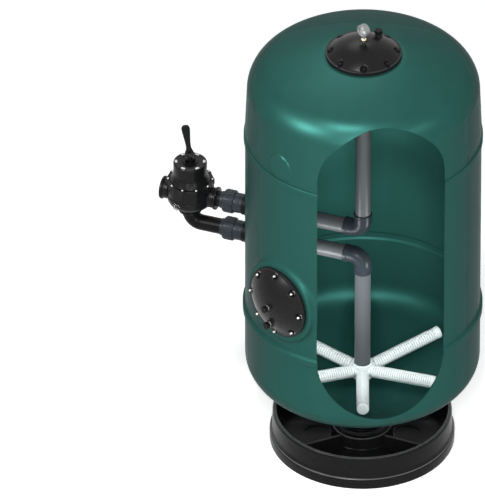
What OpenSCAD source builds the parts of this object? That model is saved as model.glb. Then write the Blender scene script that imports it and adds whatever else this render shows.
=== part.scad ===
// Media filter: free-standing pressure tank with a cut viewing window, two bolted
// covers, a side-mounted multiport valve, its unions, and a slotted collector inside.
// Lengths in mm. Origin: tank axis on the floor. +Z up, the viewer stands toward -Y.

/* [Tank] */
// Outer diameter of the straight wall
tank_d = 922; // [880:1:960]
// Shell thickness
wall_t = 8; // [6:0.5:11]
// Radius lost by the upper skirt before the dome starts
dome_drop = 6.7; // [3:0.1:12]
// Height where the top knuckle starts
dome_z = 1659; // [1600:1:1720]
// Height where the bottom knuckle starts
dish_z = 421; // [400:1:440]
// Knuckle radius of the top dome
dome_knuckle = 121.3; // [100:0.5:140]
// Knuckle radius of the bottom dish
dish_knuckle = 106.5; // [90:0.5:130]
// Crown radius of both ends
crown_r = 1174; // [1050:1:1300]
// Lower edge of the lower belt
belt_low_z = 623; // [600:1:650]
// Height of the lower belt
belt_low_h = 39; // [25:1:50]
// How far the lower belt stands proud
belt_low_out = 9; // [5:0.5:12]
// Lower edge of the upper belt
belt_up_z = 1427; // [1400:1:1450]
// Height of the upper belt
belt_up_h = 29; // [20:1:40]
// How far the upper belt stands proud
belt_up_out = 5.5; // [3:0.5:9]
// Radius of the round blank boss on the shoulder
blank_boss_r = 58; // [40:1:70]
// Height of the round blank boss
blank_boss_z = 1513; // [1490:1:1530]

/* [Window] */
// Half width of the viewing window
window_half = 252; // [220:1:262]
// Centre height of the window's lower round end
window_low_z = 654; // [640:1:700]
// Centre height of the window's upper round end
window_up_z = 1502; // [1460:1:1510]
// Direction of the window, degrees right of the viewer
window_az = 10; // [8:0.5:12]

/* [Covers] */
// Flange radius of both covers
lid_r = 149; // [147:0.5:155]
// Flange thickness of both covers
lid_flange_t = 12.5; // [10:0.5:16]
// Radius where the cover's dome meets its flange
lid_dome_r = 141; // [138:0.5:143]
// Rise of the cover's dome above its flange
lid_rise = 50; // [40:1:60]
// Cover wall thickness
lid_t = 8; // [6:0.5:9]
// Radius of the pocket in the dome round each stud
lid_pocket_r = 14.5; // [12.5:0.25:16]
// Radius of the stud circle
stud_pcd_r = 132; // [130:0.5:135]
// Number of studs on each cover
stud_n = 8; // [6:1:10]
// Stud radius
stud_r = 5; // [4:0.25:6]
// Radius of the openings in the tank
opening_r = 103; // [95:0.5:104]
// Mean radius of the cover seal ring
seal_r = 111; // [110.5:0.25:111.5]
// Cord radius of the cover seal ring
seal_cord = 2.9; // [2.4:0.1:3.2]
// Distance of the second plug from the cover's centre
plug_off = 82; // [76:1:86]
// Height of the manhole's centre
manhole_z = 879; // [872:1:890]
// Radius of the manhole's flat boss
manhole_boss_r = 171; // [165:1:176]
// Distance of the manhole's flat face from the tank axis beyond the wall
manhole_proud = 4; // [2:0.5:7]

/* [Side lines] */
// Height of the upper side line
line_up_z = 993; // [985:1:1000]
// Spacing of the two side lines
line_gap = 130; // [126:1:134]
// Direction of the side lines, degrees behind the tank's left
line_az = 20; // [15:1:25]
// Outer radius of all 63 mm pipes
pipe_r = 31.5; // [30:0.25:32]
// Pipe wall thickness
pipe_t = 4.7; // [3.5:0.1:5.5]
// Length of each bulkhead nipple outside the wall
nipple_out = 32; // [28:1:36]
// Length of each coupling
coupling_l = 53; // [48:1:58]
// Outer radius of each coupling
coupling_r = 39.5; // [38.5:0.25:40.5]
// Length of each union tail
tail_l = 40; // [36:1:44]
// Outer radius of each union tail
tail_r = 34; // [33.6:0.1:34.6]
// Outer radius of each union nut over its ribs
union_nut_r = 46.5; // [45:0.5:49]
// Length of each union nut
union_nut_l = 45; // [40:1:48]
// Bend radius of the outer L-pipe
bend_r = 48.5; // [46:0.5:52]

/* [Valve] */
// Distance of the valve axis from the tank axis beyond the wall
valve_out = 258; // [252:1:266]
// Radius of the valve's lower drum
drum_r = 92; // [88:0.5:96]
// Reach of the valve's side ports
port_reach = 116; // [112:1:122]
// Outer radius of the valve's ports
port_r = 41; // [39:0.5:43]
// Depth of the pipe sockets in the valve
socket_l = 30; // [24:1:32]
// Lower end of the bottom port below the side-port axis
port_drop = 80; // [78:1:81]
// Height of the drum's top above the side-port axis
drum_top = 57; // [54:1:60]
// Height of the bell's top above the side-port axis
bell_top = 150; // [144:1:156]
// Radius of the bell
bell_r = 66; // [63:0.5:70]
// Radius of the valve stem
stem_r = 12; // [10:0.5:13]
// Length of the handle from its pin to its tip
handle_l = 155; // [145:1:165]
// Half width of the handle at its tip
handle_tip = 17; // [15:0.5:20]
// Rest angle of the handle above level, degrees
handle_up = 20; // [18:1:26]
// Compass direction of the handle, degrees from +X
handle_az = 98; // [90:1:110]

/* [Inside] */
// Outer radius of the elbow sockets
elbow_r = 36.5; // [35.5:0.25:38]
// Length of an elbow arm from its corner
elbow_arm = 75; // [70:1:80]
// Bend radius of the elbows
elbow_bend = 42; // [40:1:45]
// Radius of the plate over the riser's end
diffuser_r = 70; // [60:1:76]
// Height of the riser's top end
riser_top_z = 1700; // [1680:1:1720]
// Height of the collector hub's centre
hub_z = 318; // [312:1:324]
// Radius of the collector hub
hub_r = 42; // [41:0.5:45]
// Radius of a slotted lateral
lateral_r = 25; // [23:0.5:25.5]
// Length of a lateral from the hub's centre
lateral_l = 355; // [330:1:365]
// Upward tilt of the laterals, degrees
lateral_tilt = 9.4; // [8:0.1:11]

/* [Base] */
// Outer radius of the foot
foot_r = 364; // [356:1:372]
// Height of the foot's outer edge
foot_h = 42; // [36:1:46]
// Outer radius of the stand's wall
stand_r = 354; // [348:1:355]
// Height of the stand's rim
stand_h = 138.5; // [130:0.5:146]
// Thickness of the stand's floor
floor_t = 12; // [9:0.5:14]
// Radius of the stand's hub
stand_hub_r = 120; // [114:1:122]
// Height of the stand's hub
stand_hub_h = 65; // [60:1:66]
// Radius of the two round floor recesses
recess_r = 52; // [44:1:54]
// Depth of the floor recesses
recess_t = 5; // [3:0.5:6]
// Distance of the floor recesses from the axis
recess_off = 177; // [176:1:184]
// Seat height of the tank's foot ring
seat_z = 238; // [232:1:242]
// Outer radius of the tank's foot ring
foot_ring_r = 150; // [140:1:156]
// Thickness of the tank's foot ring
foot_ring_t = 26; // [20:1:30]
// Radius of the support collar in the stand's hub
collar_foot_r = 86; // [80:1:92]
// Radius of the support collar's waist
collar_waist_r = 62; // [58:1:66]
// Radius of the support collar's bore
collar_bore_r = 52; // [46:1:54]
// Height where the support collar starts to flare
collar_flare_z = 165; // [150:1:175]

/* [Drain] */
// Distance of the drain from the tank axis
drain_off = 197; // [190:1:205]
// Slope of the drain below level, degrees
drain_tilt = 49; // [45:1:60]

/* [Gauge] */
// Radius of the gauge case
gauge_r = 24; // [22:0.5:26]
// Height of the gauge's centre above the cover's top boss
gauge_rise = 50; // [46:1:56]

/* [Hidden] */
$fn = 72;
fit = 0.05;
air = 0.3;
tank_r = tank_d / 2;
dome_r = tank_r - dome_drop;
belt_low_top = belt_low_z + belt_low_h;
belt_up_top = belt_up_z + belt_up_h;
line_low_z = line_up_z - line_gap;
valve_rho = tank_r + valve_out;

top_seat_r = stud_pcd_r + 33;
dome_half = asin((dome_r - dome_knuckle) / (crown_r - dome_knuckle));
blank_r = min(blank_boss_r, blank_boss_z - belt_up_top - 1);
dome_c = dome_z - (crown_r - dome_knuckle) * cos(dome_half);
top_seat = dome_c + sqrt(crown_r * crown_r - top_seat_r * top_seat_r);
dish_half = asin((tank_r - dish_knuckle) / (crown_r - dish_knuckle));
dish_c = dish_z + (crown_r - dish_knuckle) * cos(dish_half);
dish_in_z = dish_c - (crown_r - wall_t);
manhole_face = tank_r + manhole_proud;

lid_sphere = (lid_dome_r * lid_dome_r + lid_rise * lid_rise) / (2 * lid_rise);
lid_c = lid_flange_t + lid_rise - lid_sphere;
lid_boss_h = lid_flange_t + lid_rise + 2;
plug_z = lid_c + sqrt(lid_sphere * lid_sphere - plug_off * plug_off) + 7;
plug_r = 8;
washer_t = 1.6;

pad_in = tank_r - wall_t - 6;
pad_out = tank_r + 1;
pad_r = min(62, line_gap / 2 - 2);
nipple_r = pipe_r + 10.5;
nipple_end = pad_out + nipple_out;
coupling_end = nipple_end + coupling_l;
tail_end = coupling_end + tail_l;
tail_stop = coupling_end + 7;
spigot_l = 24;
ring_cord = 2.45;
coupling_ring_r = pipe_r + 4;
union_ring_r = pipe_r - 0.5;
collar_r = coupling_r - 0.5;

port_in = port_reach - socket_l;
deck = drum_top - 15;
gasket_t = 2;
rotor_low = deck + gasket_t + air;
rotor_top = drum_top - 0.7;
bell_in = bell_top - 8;
washer_top = bell_top + air + 3;
hub_cam = 14;
pin_z = washer_top + air + hub_cam;
spring_n = 17;
spring_pitch = (bell_in - air - rotor_top) / spring_n;

hub_top = hub_z + 38;
hub_in_r = hub_r - 8;
hub_floor = hub_top - 11;
lateral_n = 6;
ridge_n = 27;
lateral_start = 52;

gauge_z = top_seat + lid_boss_h + gauge_rise;

// Frames: local +z runs outward along the named axis, local +x points down.
module at_line(z) translate([0, 0, z]) rotate([0, 0, 180 - line_az]) rotate([0, 90, 0]) children();
module at_manhole() translate([0, 0, manhole_z]) rotate([0, 0, 225]) rotate([0, 90, 0]) children();
module at_valve() rotate([0, 0, 180 - line_az]) translate([valve_rho, 0, line_up_z]) children();
module at_handle() at_valve() rotate([0, 0, handle_az - 180 + line_az]) translate([0, 0, pin_z]) children();
module at_gauge() translate([0, 0, gauge_z]) rotate([0, 0, 225]) rotate([0, 90, 0]) children();
module at_drain() rotate([0, 0, 225])
  translate([drain_off, 0, dish_c - sqrt(crown_r * crown_r - drain_off * drain_off)])
    rotate([0, 90 + drain_tilt, 0]) children();
module around(n, r, a0 = 0) for (i = [0 : n - 1]) rotate([0, 0, a0 + i * 360 / n]) translate([r, 0, 0]) children();
module tube(ro, ri, z0, z1) translate([0, 0, z0]) difference() {
  cylinder(r = ro, h = z1 - z0);
  translate([0, 0, -1]) cylinder(r = ri, h = z1 - z0 + 2);
}
module ring(r, c, z) translate([0, 0, z]) rotate_extrude() translate([r, 0]) circle(r = c, $fn = 24);
module rod(r, z0, z1) translate([0, 0, z0]) cylinder(r = r, h = z1 - z0);
module hex(af, z0, z1) translate([0, 0, z0]) linear_extrude(height = z1 - z0) circle(r = af / 2 / cos(30), $fn = 6);

// Half section of a shell end: knuckle, then crown. s = 1 for the top, -1 for the bottom.
function end_pts(r, k, c, z, s, n) = let (a = asin((r - k) / (c - k)), zc = z - s * (c - k) * cos(a)) concat(
  [for (i = [0 : n]) let (t = (90 - a) * i / n) [r - k + k * cos(t), z + s * k * sin(t)]],
  [for (i = [1 : n]) let (t = 90 - a + a * i / n) [c * cos(t), zc + s * c * sin(t)]]);
function flip(p) = [for (i = [len(p) - 1 : -1 : 0]) p[i]];

module window_cut() rotate([0, 0, window_az]) translate([0, -100, 0]) rotate([90, 0, 0])
  linear_extrude(height = tank_r) {
    translate([-window_half, window_low_z]) square([2 * window_half, window_up_z - window_low_z]);
    translate([0, window_low_z]) circle(r = window_half, $fn = 120);
    translate([0, window_up_z]) circle(r = window_half, $fn = 120);
  }

module tank_top_dome() color([0.16, 0.38, 0.35]) difference() {
  union() {
    rotate_extrude($fn = 120) polygon(concat(
      [[tank_r, belt_up_top], [tank_r, belt_up_top + 44]],
      end_pts(dome_r, dome_knuckle, crown_r, dome_z, 1, 9),
      flip(end_pts(dome_r - wall_t, dome_knuckle - wall_t, crown_r - wall_t, dome_z, 1, 9)),
      [[tank_r - wall_t, belt_up_top + 44], [tank_r - wall_t, belt_up_top]]));
    rod(top_seat_r, top_seat - 36, top_seat);
    rotate([0, 0, 225]) translate([0, 0, blank_boss_z]) rotate([0, 90, 0])
      rod(blank_r, tank_r - wall_t - 6, tank_r + 2.5);
  }
  rod(top_seat_r + 20, top_seat, top_seat + 60);
  rod(opening_r, top_seat - 60, top_seat + 1);
  around(stud_n, stud_pcd_r) rod(stud_r + fit, top_seat - 28, top_seat + 1);
  window_cut();
}

module tank_wall() color([0.16, 0.38, 0.35]) difference() {
  union() {
    rotate_extrude($fn = 120) polygon([
      [tank_r - wall_t, belt_low_z], [tank_r + belt_low_out - 3, belt_low_z], [tank_r + belt_low_out, belt_low_z + 3],
      [tank_r + belt_low_out, belt_low_top - 3], [tank_r + belt_low_out - 3, belt_low_top], [tank_r, belt_low_top],
      [tank_r, belt_up_z], [tank_r + belt_up_out - 2, belt_up_z], [tank_r + belt_up_out, belt_up_z + 2],
      [tank_r + belt_up_out, belt_up_top - 2], [tank_r + belt_up_out - 2, belt_up_top],
      [tank_r - wall_t, belt_up_top], [tank_r - wall_t, belt_up_top - 5], [tank_r - wall_t + 3, belt_up_top - 8],
      [tank_r - wall_t + 3, belt_up_z + 8], [tank_r - wall_t, belt_up_z + 5],
      [tank_r - wall_t, belt_low_top - 5], [tank_r - wall_t + 5, belt_low_top - 10],
      [tank_r - wall_t + 5, belt_low_z + 10], [tank_r - wall_t, belt_low_z + 5]]);
    at_manhole() rotate_extrude() polygon([
      [opening_r, manhole_face - 40], [manhole_boss_r, manhole_face - 40], [manhole_boss_r, manhole_face - 7],
      [manhole_boss_r - 2, manhole_face - 2.7], [manhole_boss_r - 6, manhole_face], [opening_r, manhole_face]]);
    for (z = [line_up_z, line_low_z]) at_line(z) rod(pad_r, pad_in, pad_out);
  }
  at_manhole() {
    rod(opening_r, manhole_face - 80, manhole_face + 20);
    around(stud_n, stud_pcd_r) rod(stud_r + fit, manhole_face - 30, manhole_face + 1);
  }
  for (z = [line_up_z, line_low_z]) at_line(z) {
    rod(nipple_r + fit, pad_in - 30, pad_out + 20);
    rod(pad_r, pad_in - 20, pad_in);
    rod(pad_r, pad_out, pad_out + 20);
  }
  window_cut();
}

module tank_bottom_dish() color([0.16, 0.38, 0.35]) difference() {
  union() {
    rotate_extrude($fn = 120) polygon(concat(
      [[tank_r, belt_low_z]],
      end_pts(tank_r, dish_knuckle, crown_r, dish_z, -1, 9),
      flip(end_pts(tank_r - wall_t, dish_knuckle - wall_t, crown_r - wall_t, dish_z, -1, 9)),
      [[tank_r - wall_t, belt_low_z]]));
    difference() {
      tube(foot_ring_r, foot_ring_r - foot_ring_t, seat_z, seat_z + 45);
      translate([0, 0, dish_c]) sphere(r = crown_r - wall_t / 2, $fn = 200);
    }
    at_drain() rod(26, -30, 22);
  }
  at_drain() rod(10 + fit, -60, 40);
  window_cut();
}

module support_collar() color([0.07, 0.07, 0.08]) rotate_extrude() polygon([
  [collar_bore_r, floor_t], [collar_foot_r, floor_t], [collar_foot_r, stand_hub_h + 3], [collar_waist_r + 8, stand_hub_h + 5],
  [collar_waist_r + 8, stand_hub_h + 16], [collar_waist_r, stand_hub_h + 20], [collar_waist_r, collar_flare_z],
  [foot_ring_r, seat_z - 16], [foot_ring_r, seat_z], [foot_ring_r - foot_ring_t, seat_z],
  [foot_ring_r - foot_ring_t, seat_z - 20], [collar_bore_r, collar_flare_z + 10]]);

module base_stand() color([0.06, 0.06, 0.07]) difference() {
  union() {
    rotate_extrude() polygon([
      [0, 0], [foot_r, 0], [foot_r, foot_h - 3], [foot_r - 3, foot_h], [stand_r + 3, foot_h + 4], [stand_r, foot_h + 18],
      [stand_r - 1, stand_h - 12], [stand_r - 5, stand_h - 3], [stand_r - 12, stand_h], [stand_r - 17, stand_h - 3],
      [stand_r - 19, stand_h - 12], [stand_r - 17, floor_t], [0, floor_t]]);
    rod(stand_hub_r, 1, stand_hub_h);
    for (a = [45 : 90 : 315]) rotate([0, 0, a]) rotate([90, 0, 0]) translate([0, 0, -6]) linear_extrude(height = 12)
      polygon([[collar_foot_r + 8, 6], [stand_r - 10, 6], [stand_r - 10, stand_h - 14], [stand_hub_r, stand_hub_h - 5],
        [collar_foot_r + 8, stand_hub_h - 5]]);
  }
  rod(collar_foot_r + fit, floor_t, stand_hub_h + 1);
  around(2, recess_off) rod(recess_r, floor_t - recess_t, floor_t + 8);
}

module lid(plug_ang) difference() {
  union() {
    rotate_extrude() polygon(concat(
      [[opening_r - 5, 0], [lid_r, 0], [lid_r, lid_flange_t - 2.5], [lid_r - 2.5, lid_flange_t], [lid_dome_r, lid_flange_t]],
      [for (i = [1 : 14]) let (t = asin(lid_dome_r / lid_sphere) * (1 - i / 14)) [lid_sphere * sin(t), lid_c + lid_sphere * cos(t)]],
      [for (i = [0 : 12]) let (t = asin((opening_r - 5) / (lid_sphere - lid_t)) * i / 12)
        [(lid_sphere - lid_t) * sin(t), lid_c + (lid_sphere - lid_t) * cos(t)]]));
    rod(17, lid_boss_h - 14, lid_boss_h);
    rotate([0, 0, plug_ang]) translate([plug_off, 0, 0]) rod(16, plug_z - 18, plug_z);
  }
  around(stud_n, stud_pcd_r) {
    rod(stud_r + air, -1, lid_flange_t + 1);
    rod(lid_pocket_r, lid_flange_t, lid_boss_h);
  }
  tube(seal_r + seal_cord + 0.1, seal_r - seal_cord - 0.1, -1, 2 * seal_cord + 0.05);
  rod(plug_r + fit, 0, lid_boss_h + 1);
  rotate([0, 0, plug_ang]) translate([plug_off, 0, 0]) rod(plug_r + fit, 0, plug_z + 1);
}
module lid_seal() ring(seal_r, seal_cord, seal_cord);
module plug_ring(z) ring(plug_r + 2.4, 1.8, z + 1.8);
module plug(z, lobes, reach) {
  rod(plug_r, z - 20, z + 5);
  rod(13, z + 3.6 + air, z + 8);
  rod(reach * 0.62, z + 6, z + 22);
  around(lobes, reach - 6) rod(6, z + 7, z + 20);
}

module top_cover() color([0.06, 0.06, 0.07]) translate([0, 0, top_seat]) lid(45);
module top_cover_oring() color([0.03, 0.03, 0.03]) translate([0, 0, top_seat]) lid_seal();
module top_cover_studs() color([0.75, 0.74, 0.7]) translate([0, 0, top_seat])
  around(stud_n, stud_pcd_r) rod(stud_r, -27.7, lid_flange_t + 9);
module top_cover_nuts() color([0.07, 0.07, 0.08]) translate([0, 0, top_seat]) around(stud_n, stud_pcd_r) difference() {
  union() { hex(17, lid_flange_t, lid_flange_t + 8); rod(7, lid_flange_t + 7, lid_flange_t + 10.5); }
  rod(stud_r + fit, lid_flange_t - 1, lid_flange_t + 9.2);
}
module gauge_stem() color([0.72, 0.66, 0.5]) translate([0, 0, top_seat + lid_boss_h]) {
  rod(plug_r, -14, 1);
  hex(19, 0, 9);
  rod(6, 8, gauge_rise - gauge_r + 2.2);
}
module gauge_case() color([0.8, 0.8, 0.78]) difference() {
  at_gauge() union() {
    rod(gauge_r, -13, 10);
    rod(gauge_r + 1.5, 8, 12.5);
  }
  at_gauge() {
    rod(gauge_r - 2.5, -5, 10.8);
    rod(gauge_r - 4, 10, 14);
    rod(1.6, -10, 0);
  }
  translate([0, 0, gauge_z]) rod(6 + fit, -gauge_r - 4, 2.3 - gauge_r);
}
module gauge_dial() color([0.95, 0.95, 0.93]) at_gauge() difference() {
  rod(gauge_r - 2.6, -5, -4);
  rod(2, -6, 0);
}
module gauge_pointer() color([0.1, 0.1, 0.1]) at_gauge() {
  rod(1.5, -9, -2);
  rod(3, -3.4, -2);
  rotate([0, 0, -45]) translate([0, 0, -3.2]) linear_extrude(height = 0.8)
    polygon([[-6, -1.6], [gauge_r - 6, -0.4], [gauge_r - 6, 0.4], [-6, 1.6]]);
}
module gauge_lens() color([0.9, 0.95, 0.97]) at_gauge() rod(gauge_r - 2.6, 8.6, 10.75);

module air_bleed_plug() color([0.06, 0.06, 0.07]) translate([0, 0, top_seat]) rotate([0, 0, 45])
  translate([plug_off, 0, 0]) plug(plug_z, 5, 17);
module air_bleed_oring() color([0.03, 0.03, 0.03]) translate([0, 0, top_seat]) rotate([0, 0, 45])
  translate([plug_off, 0, 0]) plug_ring(plug_z);

module at_cover() at_manhole() translate([0, 0, manhole_face]) children();
module manhole_cover() color([0.06, 0.06, 0.07]) at_cover() lid(0);
module manhole_oring() color([0.03, 0.03, 0.03]) at_cover() lid_seal();
module manhole_studs() color([0.8, 0.79, 0.75]) at_cover() around(stud_n, stud_pcd_r) rod(stud_r, -29.7, 31);
module manhole_washers() color([0.5, 0.5, 0.5]) at_cover() around(stud_n, stud_pcd_r) {
  tube(9.5, stud_r + fit, lid_flange_t, lid_flange_t + washer_t);
  tube(8.5, stud_r + fit, lid_flange_t + washer_t, lid_flange_t + 2 * washer_t);
}
module manhole_nuts() color([0.07, 0.07, 0.08]) at_cover() around(stud_n, stud_pcd_r) difference() {
  hex(16, lid_flange_t + 2 * washer_t, lid_flange_t + 2 * washer_t + 9);
  rod(stud_r + fit, lid_flange_t, lid_flange_t + 20);
}
module cover_plug_centre() color([0.06, 0.06, 0.07]) at_cover() plug(lid_boss_h, 3, 15);
module cover_plug_lower() color([0.06, 0.06, 0.07]) at_cover() translate([plug_off, 0, 0]) plug(plug_z, 3, 15);
module cover_plug_orings() color([0.6, 0.6, 0.6]) at_cover() {
  plug_ring(lid_boss_h);
  translate([plug_off, 0, 0]) plug_ring(plug_z);
}

module bulkhead(z) at_line(z) difference() {
  union() {
    rod(nipple_r, pad_in - 16, nipple_end);
    rod(pad_r - 5, pad_in - 8, pad_in);
  }
  rod(pipe_r + fit, 0, nipple_end + 1);
  tube(coupling_ring_r + ring_cord + 0.1, coupling_ring_r - ring_cord - 0.1, nipple_end - 2 * ring_cord - fit, nipple_end + 1);
}
module bulkhead_upper() color([0.05, 0.05, 0.06]) bulkhead(line_up_z);
module bulkhead_lower() color([0.05, 0.05, 0.06]) bulkhead(line_low_z);
module bulkhead_nuts() color([0.05, 0.05, 0.06]) for (z = [line_up_z, line_low_z]) at_line(z) difference() {
  rod(nipple_r + 10, pad_out, pad_out + 13);
  rod(nipple_r + fit, pad_out - 1, pad_out + 20);
  around(8, nipple_r + 10) rod(4, pad_out - 1, pad_out + 20);
}
module coupling(z) at_line(z) difference() {
  union() {
    rod(coupling_r, nipple_end, coupling_end);
    rod(pipe_r, nipple_end - spigot_l, nipple_end + 1);
  }
  rod(pipe_r - 5.5, 0, coupling_end + 1);
}
module coupling_upper() color([0.2, 0.23, 0.28]) coupling(line_up_z);
module coupling_lower() color([0.2, 0.23, 0.28]) coupling(line_low_z);
module coupling_orings() color([0.03, 0.03, 0.03]) for (z = [line_up_z, line_low_z]) at_line(z)
  ring(coupling_ring_r, ring_cord, nipple_end - ring_cord);
module union_orings() color([0.03, 0.03, 0.03]) for (z = [line_up_z, line_low_z]) at_line(z)
  ring(union_ring_r, ring_cord, coupling_end + ring_cord);
module union_tail(z) at_line(z) difference() {
  union() {
    rod(tail_r, coupling_end, tail_end);
    rod(collar_r, coupling_end, coupling_end + 6);
  }
  rod(pipe_r - 5.5, coupling_end - 1, tail_end);
  rod(pipe_r + fit, tail_stop, tail_end + 1);
  tube(union_ring_r + ring_cord + 0.1, union_ring_r - ring_cord - 0.1, coupling_end - 1, coupling_end + 2 * ring_cord + fit);
}
module union_tail_upper() color([0.2, 0.23, 0.28]) union_tail(line_up_z);
module union_tail_lower() color([0.2, 0.23, 0.28]) union_tail(line_low_z);
module union_nut(z) at_line(z) difference() {
  translate([0, 0, tail_stop - 1 + 22 - union_nut_l]) linear_extrude(height = union_nut_l) {
    circle(r = union_nut_r - 2.2);
    around(20, union_nut_r - 2.4) circle(r = 2.4, $fn = 16);
  }
  rod(coupling_r + fit, coupling_end - 60, coupling_end + 6 + air);
  rod(tail_r + air, coupling_end, tail_end + 9);
}
module union_nut_upper() color([0.2, 0.23, 0.28]) union_nut(line_up_z);
module union_nut_lower() color([0.2, 0.23, 0.28]) union_nut(line_low_z);
module stub_pipe() color([0.05, 0.05, 0.05]) at_line(line_up_z)
  tube(pipe_r, pipe_r - pipe_t, tail_stop + air, valve_rho - port_in - air);
module elbow_pipe() color([0.05, 0.05, 0.05]) {
  at_line(line_low_z) tube(pipe_r, pipe_r - pipe_t, tail_stop + air, valve_rho - bend_r);
  rotate([0, 0, 180 - line_az]) translate([valve_rho - bend_r, 0, line_low_z + bend_r]) rotate([90, 0, 0])
    rotate([0, 0, -90]) rotate_extrude(angle = 90) translate([bend_r, 0]) difference() {
      circle(r = pipe_r);
      circle(r = pipe_r - pipe_t);
    }
  rotate([0, 0, 180 - line_az]) translate([valve_rho, 0, 0])
    tube(pipe_r, pipe_r - pipe_t, line_low_z + bend_r, line_up_z - port_drop + socket_l - air);
}

port_dirs = [180, 0, -90];
module valve_body() color([0.05, 0.05, 0.06]) at_valve() difference() {
  union() {
    rotate_extrude() polygon([[0, -45], [drum_r - 26, -45], [drum_r - 10, -38], [drum_r - 3, -24], [drum_r, -8],
      [drum_r, drum_top], [0, drum_top]]);
    rod(drum_r + 4, drum_top - 9, drum_top);
    rod(port_r, -port_drop, -40);
    rod(port_r + 5, -port_drop, -port_drop + 8);
    for (a = port_dirs) rotate([0, 0, a]) rotate([0, 90, 0]) {
      rod(port_r, 50, port_reach);
      rod(port_r + 5, port_reach - 9, port_reach);
    }
  }
  for (a = port_dirs) rotate([0, 0, a]) {
    rotate([0, 90, 0]) rod(pipe_r + fit, port_in, port_reach + 1);
    rotate([0, 90, 0]) rod(22, 44, port_reach);
    translate([56, 0, 0]) rod(17, 0, deck + 1);
  }
  rod(pipe_r + fit, -port_drop - 1, -port_drop + socket_l);
  rod(20, -port_drop, deck + 1);
  rod(drum_r - 12, deck, drum_top + 1);
  around(10, drum_r - 5, 18) rod(2.5 + fit, drum_top - 18, drum_top + 1);
  rotate([0, 0, 75]) translate([0, 0, -14]) rotate([0, 90, 0]) rod(9 + fit, drum_r - 24, drum_r + 20);
}
module valve_gasket() color([0.85, 0.85, 0.83]) at_valve() difference() {
  rod(drum_r - 12.1, deck, deck + gasket_t);
  rod(20, 0, deck + 9);
  for (a = port_dirs) rotate([0, 0, a]) translate([56, 0, 0]) rod(17, 0, deck + 9);
}
module valve_cover() color([0.05, 0.05, 0.06]) at_valve() difference() {
  rotate_extrude() polygon([[stem_r + fit, bell_top], [stem_r + fit, bell_in], [bell_r - 12, bell_in], [bell_r - 8, bell_in - 6],
    [bell_r - 8, 98], [drum_r - 20, drum_top + 8], [drum_r - 16, drum_top], [drum_r + 4, drum_top],
    [drum_r + 4, drum_top + 7], [drum_r + 2, drum_top + 9], [drum_r - 12, drum_top + 9], [bell_r + 2, 90], [bell_r, 98],
    [bell_r, bell_top - 4], [bell_r - 2, bell_top]]);
  around(10, drum_r - 5, 18) rod(2.5 + air, drum_top - 1, drum_top + 12);
}
module valve_cover_screws() color([0.7, 0.7, 0.68]) at_valve() around(10, drum_r - 5, 18) {
  rod(2.5, drum_top - 17, drum_top + 10);
  rod(4.6, drum_top + 9, drum_top + 13);
}
module valve_rotor() color([0.75, 0.75, 0.73]) {
  at_valve() difference() {
    union() {
      rod(drum_r - 13, rotor_low, rotor_top);
      rod(stem_r, rotor_low + 1, washer_top);
    }
    rotate([0, 0, handle_az + 180]) translate([0, -17, rotor_low - 1]) cube([70, 34, 8]);
    rotate([0, 0, handle_az]) translate([56, 0, 0]) rod(16, rotor_low - 1, rotor_top + 1);
  }
  at_handle() difference() {
    intersection() {
      rod(stem_r, washer_top - pin_z - 1, 11);
      translate([-20, -6, -40]) cube([40, 12, 60]);
    }
    rotate([90, 0, 0]) rod(4 + fit, -20, 20);
  }
}
module valve_spring() color([0.7, 0.7, 0.7]) at_valve() for (i = [0 : spring_n - 1])
  ring(20, spring_pitch / 2 - 0.05, rotor_top + (i + 0.5) * spring_pitch);
module thrust_washer() color([0.75, 0.75, 0.75]) at_valve() tube(30, stem_r + fit, bell_top + air, washer_top);
module valve_handle() color([0.05, 0.05, 0.06]) at_handle() difference() {
  union() {
    rotate([90, 0, 0]) rod(hub_cam, -20, 20);
    rotate([0, -handle_up, 0]) translate([0, 0, -8]) linear_extrude(height = 16) {
      polygon([[3, -19], [20, -19], [46, -10], [64, -10], [handle_l - handle_tip, -handle_tip],
        [handle_l - handle_tip, handle_tip], [64, 10], [46, 10], [20, 19], [3, 19]]);
      translate([handle_l - handle_tip, 0]) circle(r = handle_tip);
    }
  }
  translate([-30, -6.3, -30]) cube([52, 12.6, 60]);
  rotate([90, 0, 0]) rod(4 + fit, -30, 30);
}
module handle_pin() color([0.75, 0.75, 0.75]) at_handle() rotate([90, 0, 0]) rod(4, -20, 20);
module position_pads() color([0.92, 0.92, 0.9]) at_valve() around(6, bell_r - 11, 20)
  translate([-5, -8, bell_top]) cube([10, 16, 0.8]);
module sight_glass() color([0.8, 0.9, 0.95]) at_valve() rotate([0, 0, 75]) translate([0, 0, -14]) rotate([0, 90, 0]) {
  rod(9, drum_r - 23, drum_r + 3);
  rod(14, drum_r, drum_r + 8);
}

module inner_pipe(z) at_line(z) tube(pipe_r, pipe_r - pipe_t, elbow_bend + air, nipple_end - spigot_l - air);
module inner_pipe_upper() color([0.42, 0.4, 0.4]) inner_pipe(line_up_z);
module inner_pipe_lower() color([0.42, 0.4, 0.4]) inner_pipe(line_low_z);
module inner_elbow(z, s) translate([0, 0, z]) rotate([0, 0, 180 - line_az]) mirror([0, 0, s > 0 ? 0 : 1]) difference() {
  union() {
    translate([elbow_bend, 0, elbow_bend]) rotate([90, 0, 0]) rotate([0, 0, 180]) rotate_extrude(angle = 90)
      translate([elbow_bend, 0]) circle(r = elbow_r);
    rod(elbow_r, elbow_bend, elbow_arm);
    rotate([0, 90, 0]) rod(elbow_r, elbow_bend, elbow_arm);
  }
  translate([elbow_bend, 0, elbow_bend]) rotate([90, 0, 0]) rotate([0, 0, 180]) rotate_extrude(angle = 90)
    translate([elbow_bend, 0]) circle(r = pipe_r - pipe_t);
  rod(pipe_r + fit, elbow_bend, elbow_arm + 1);
  rotate([0, 90, 0]) rod(pipe_r + fit, elbow_bend, elbow_arm + 1);
}
module inner_elbow_upper() color([0.2, 0.2, 0.24]) inner_elbow(line_up_z, 1);
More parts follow.
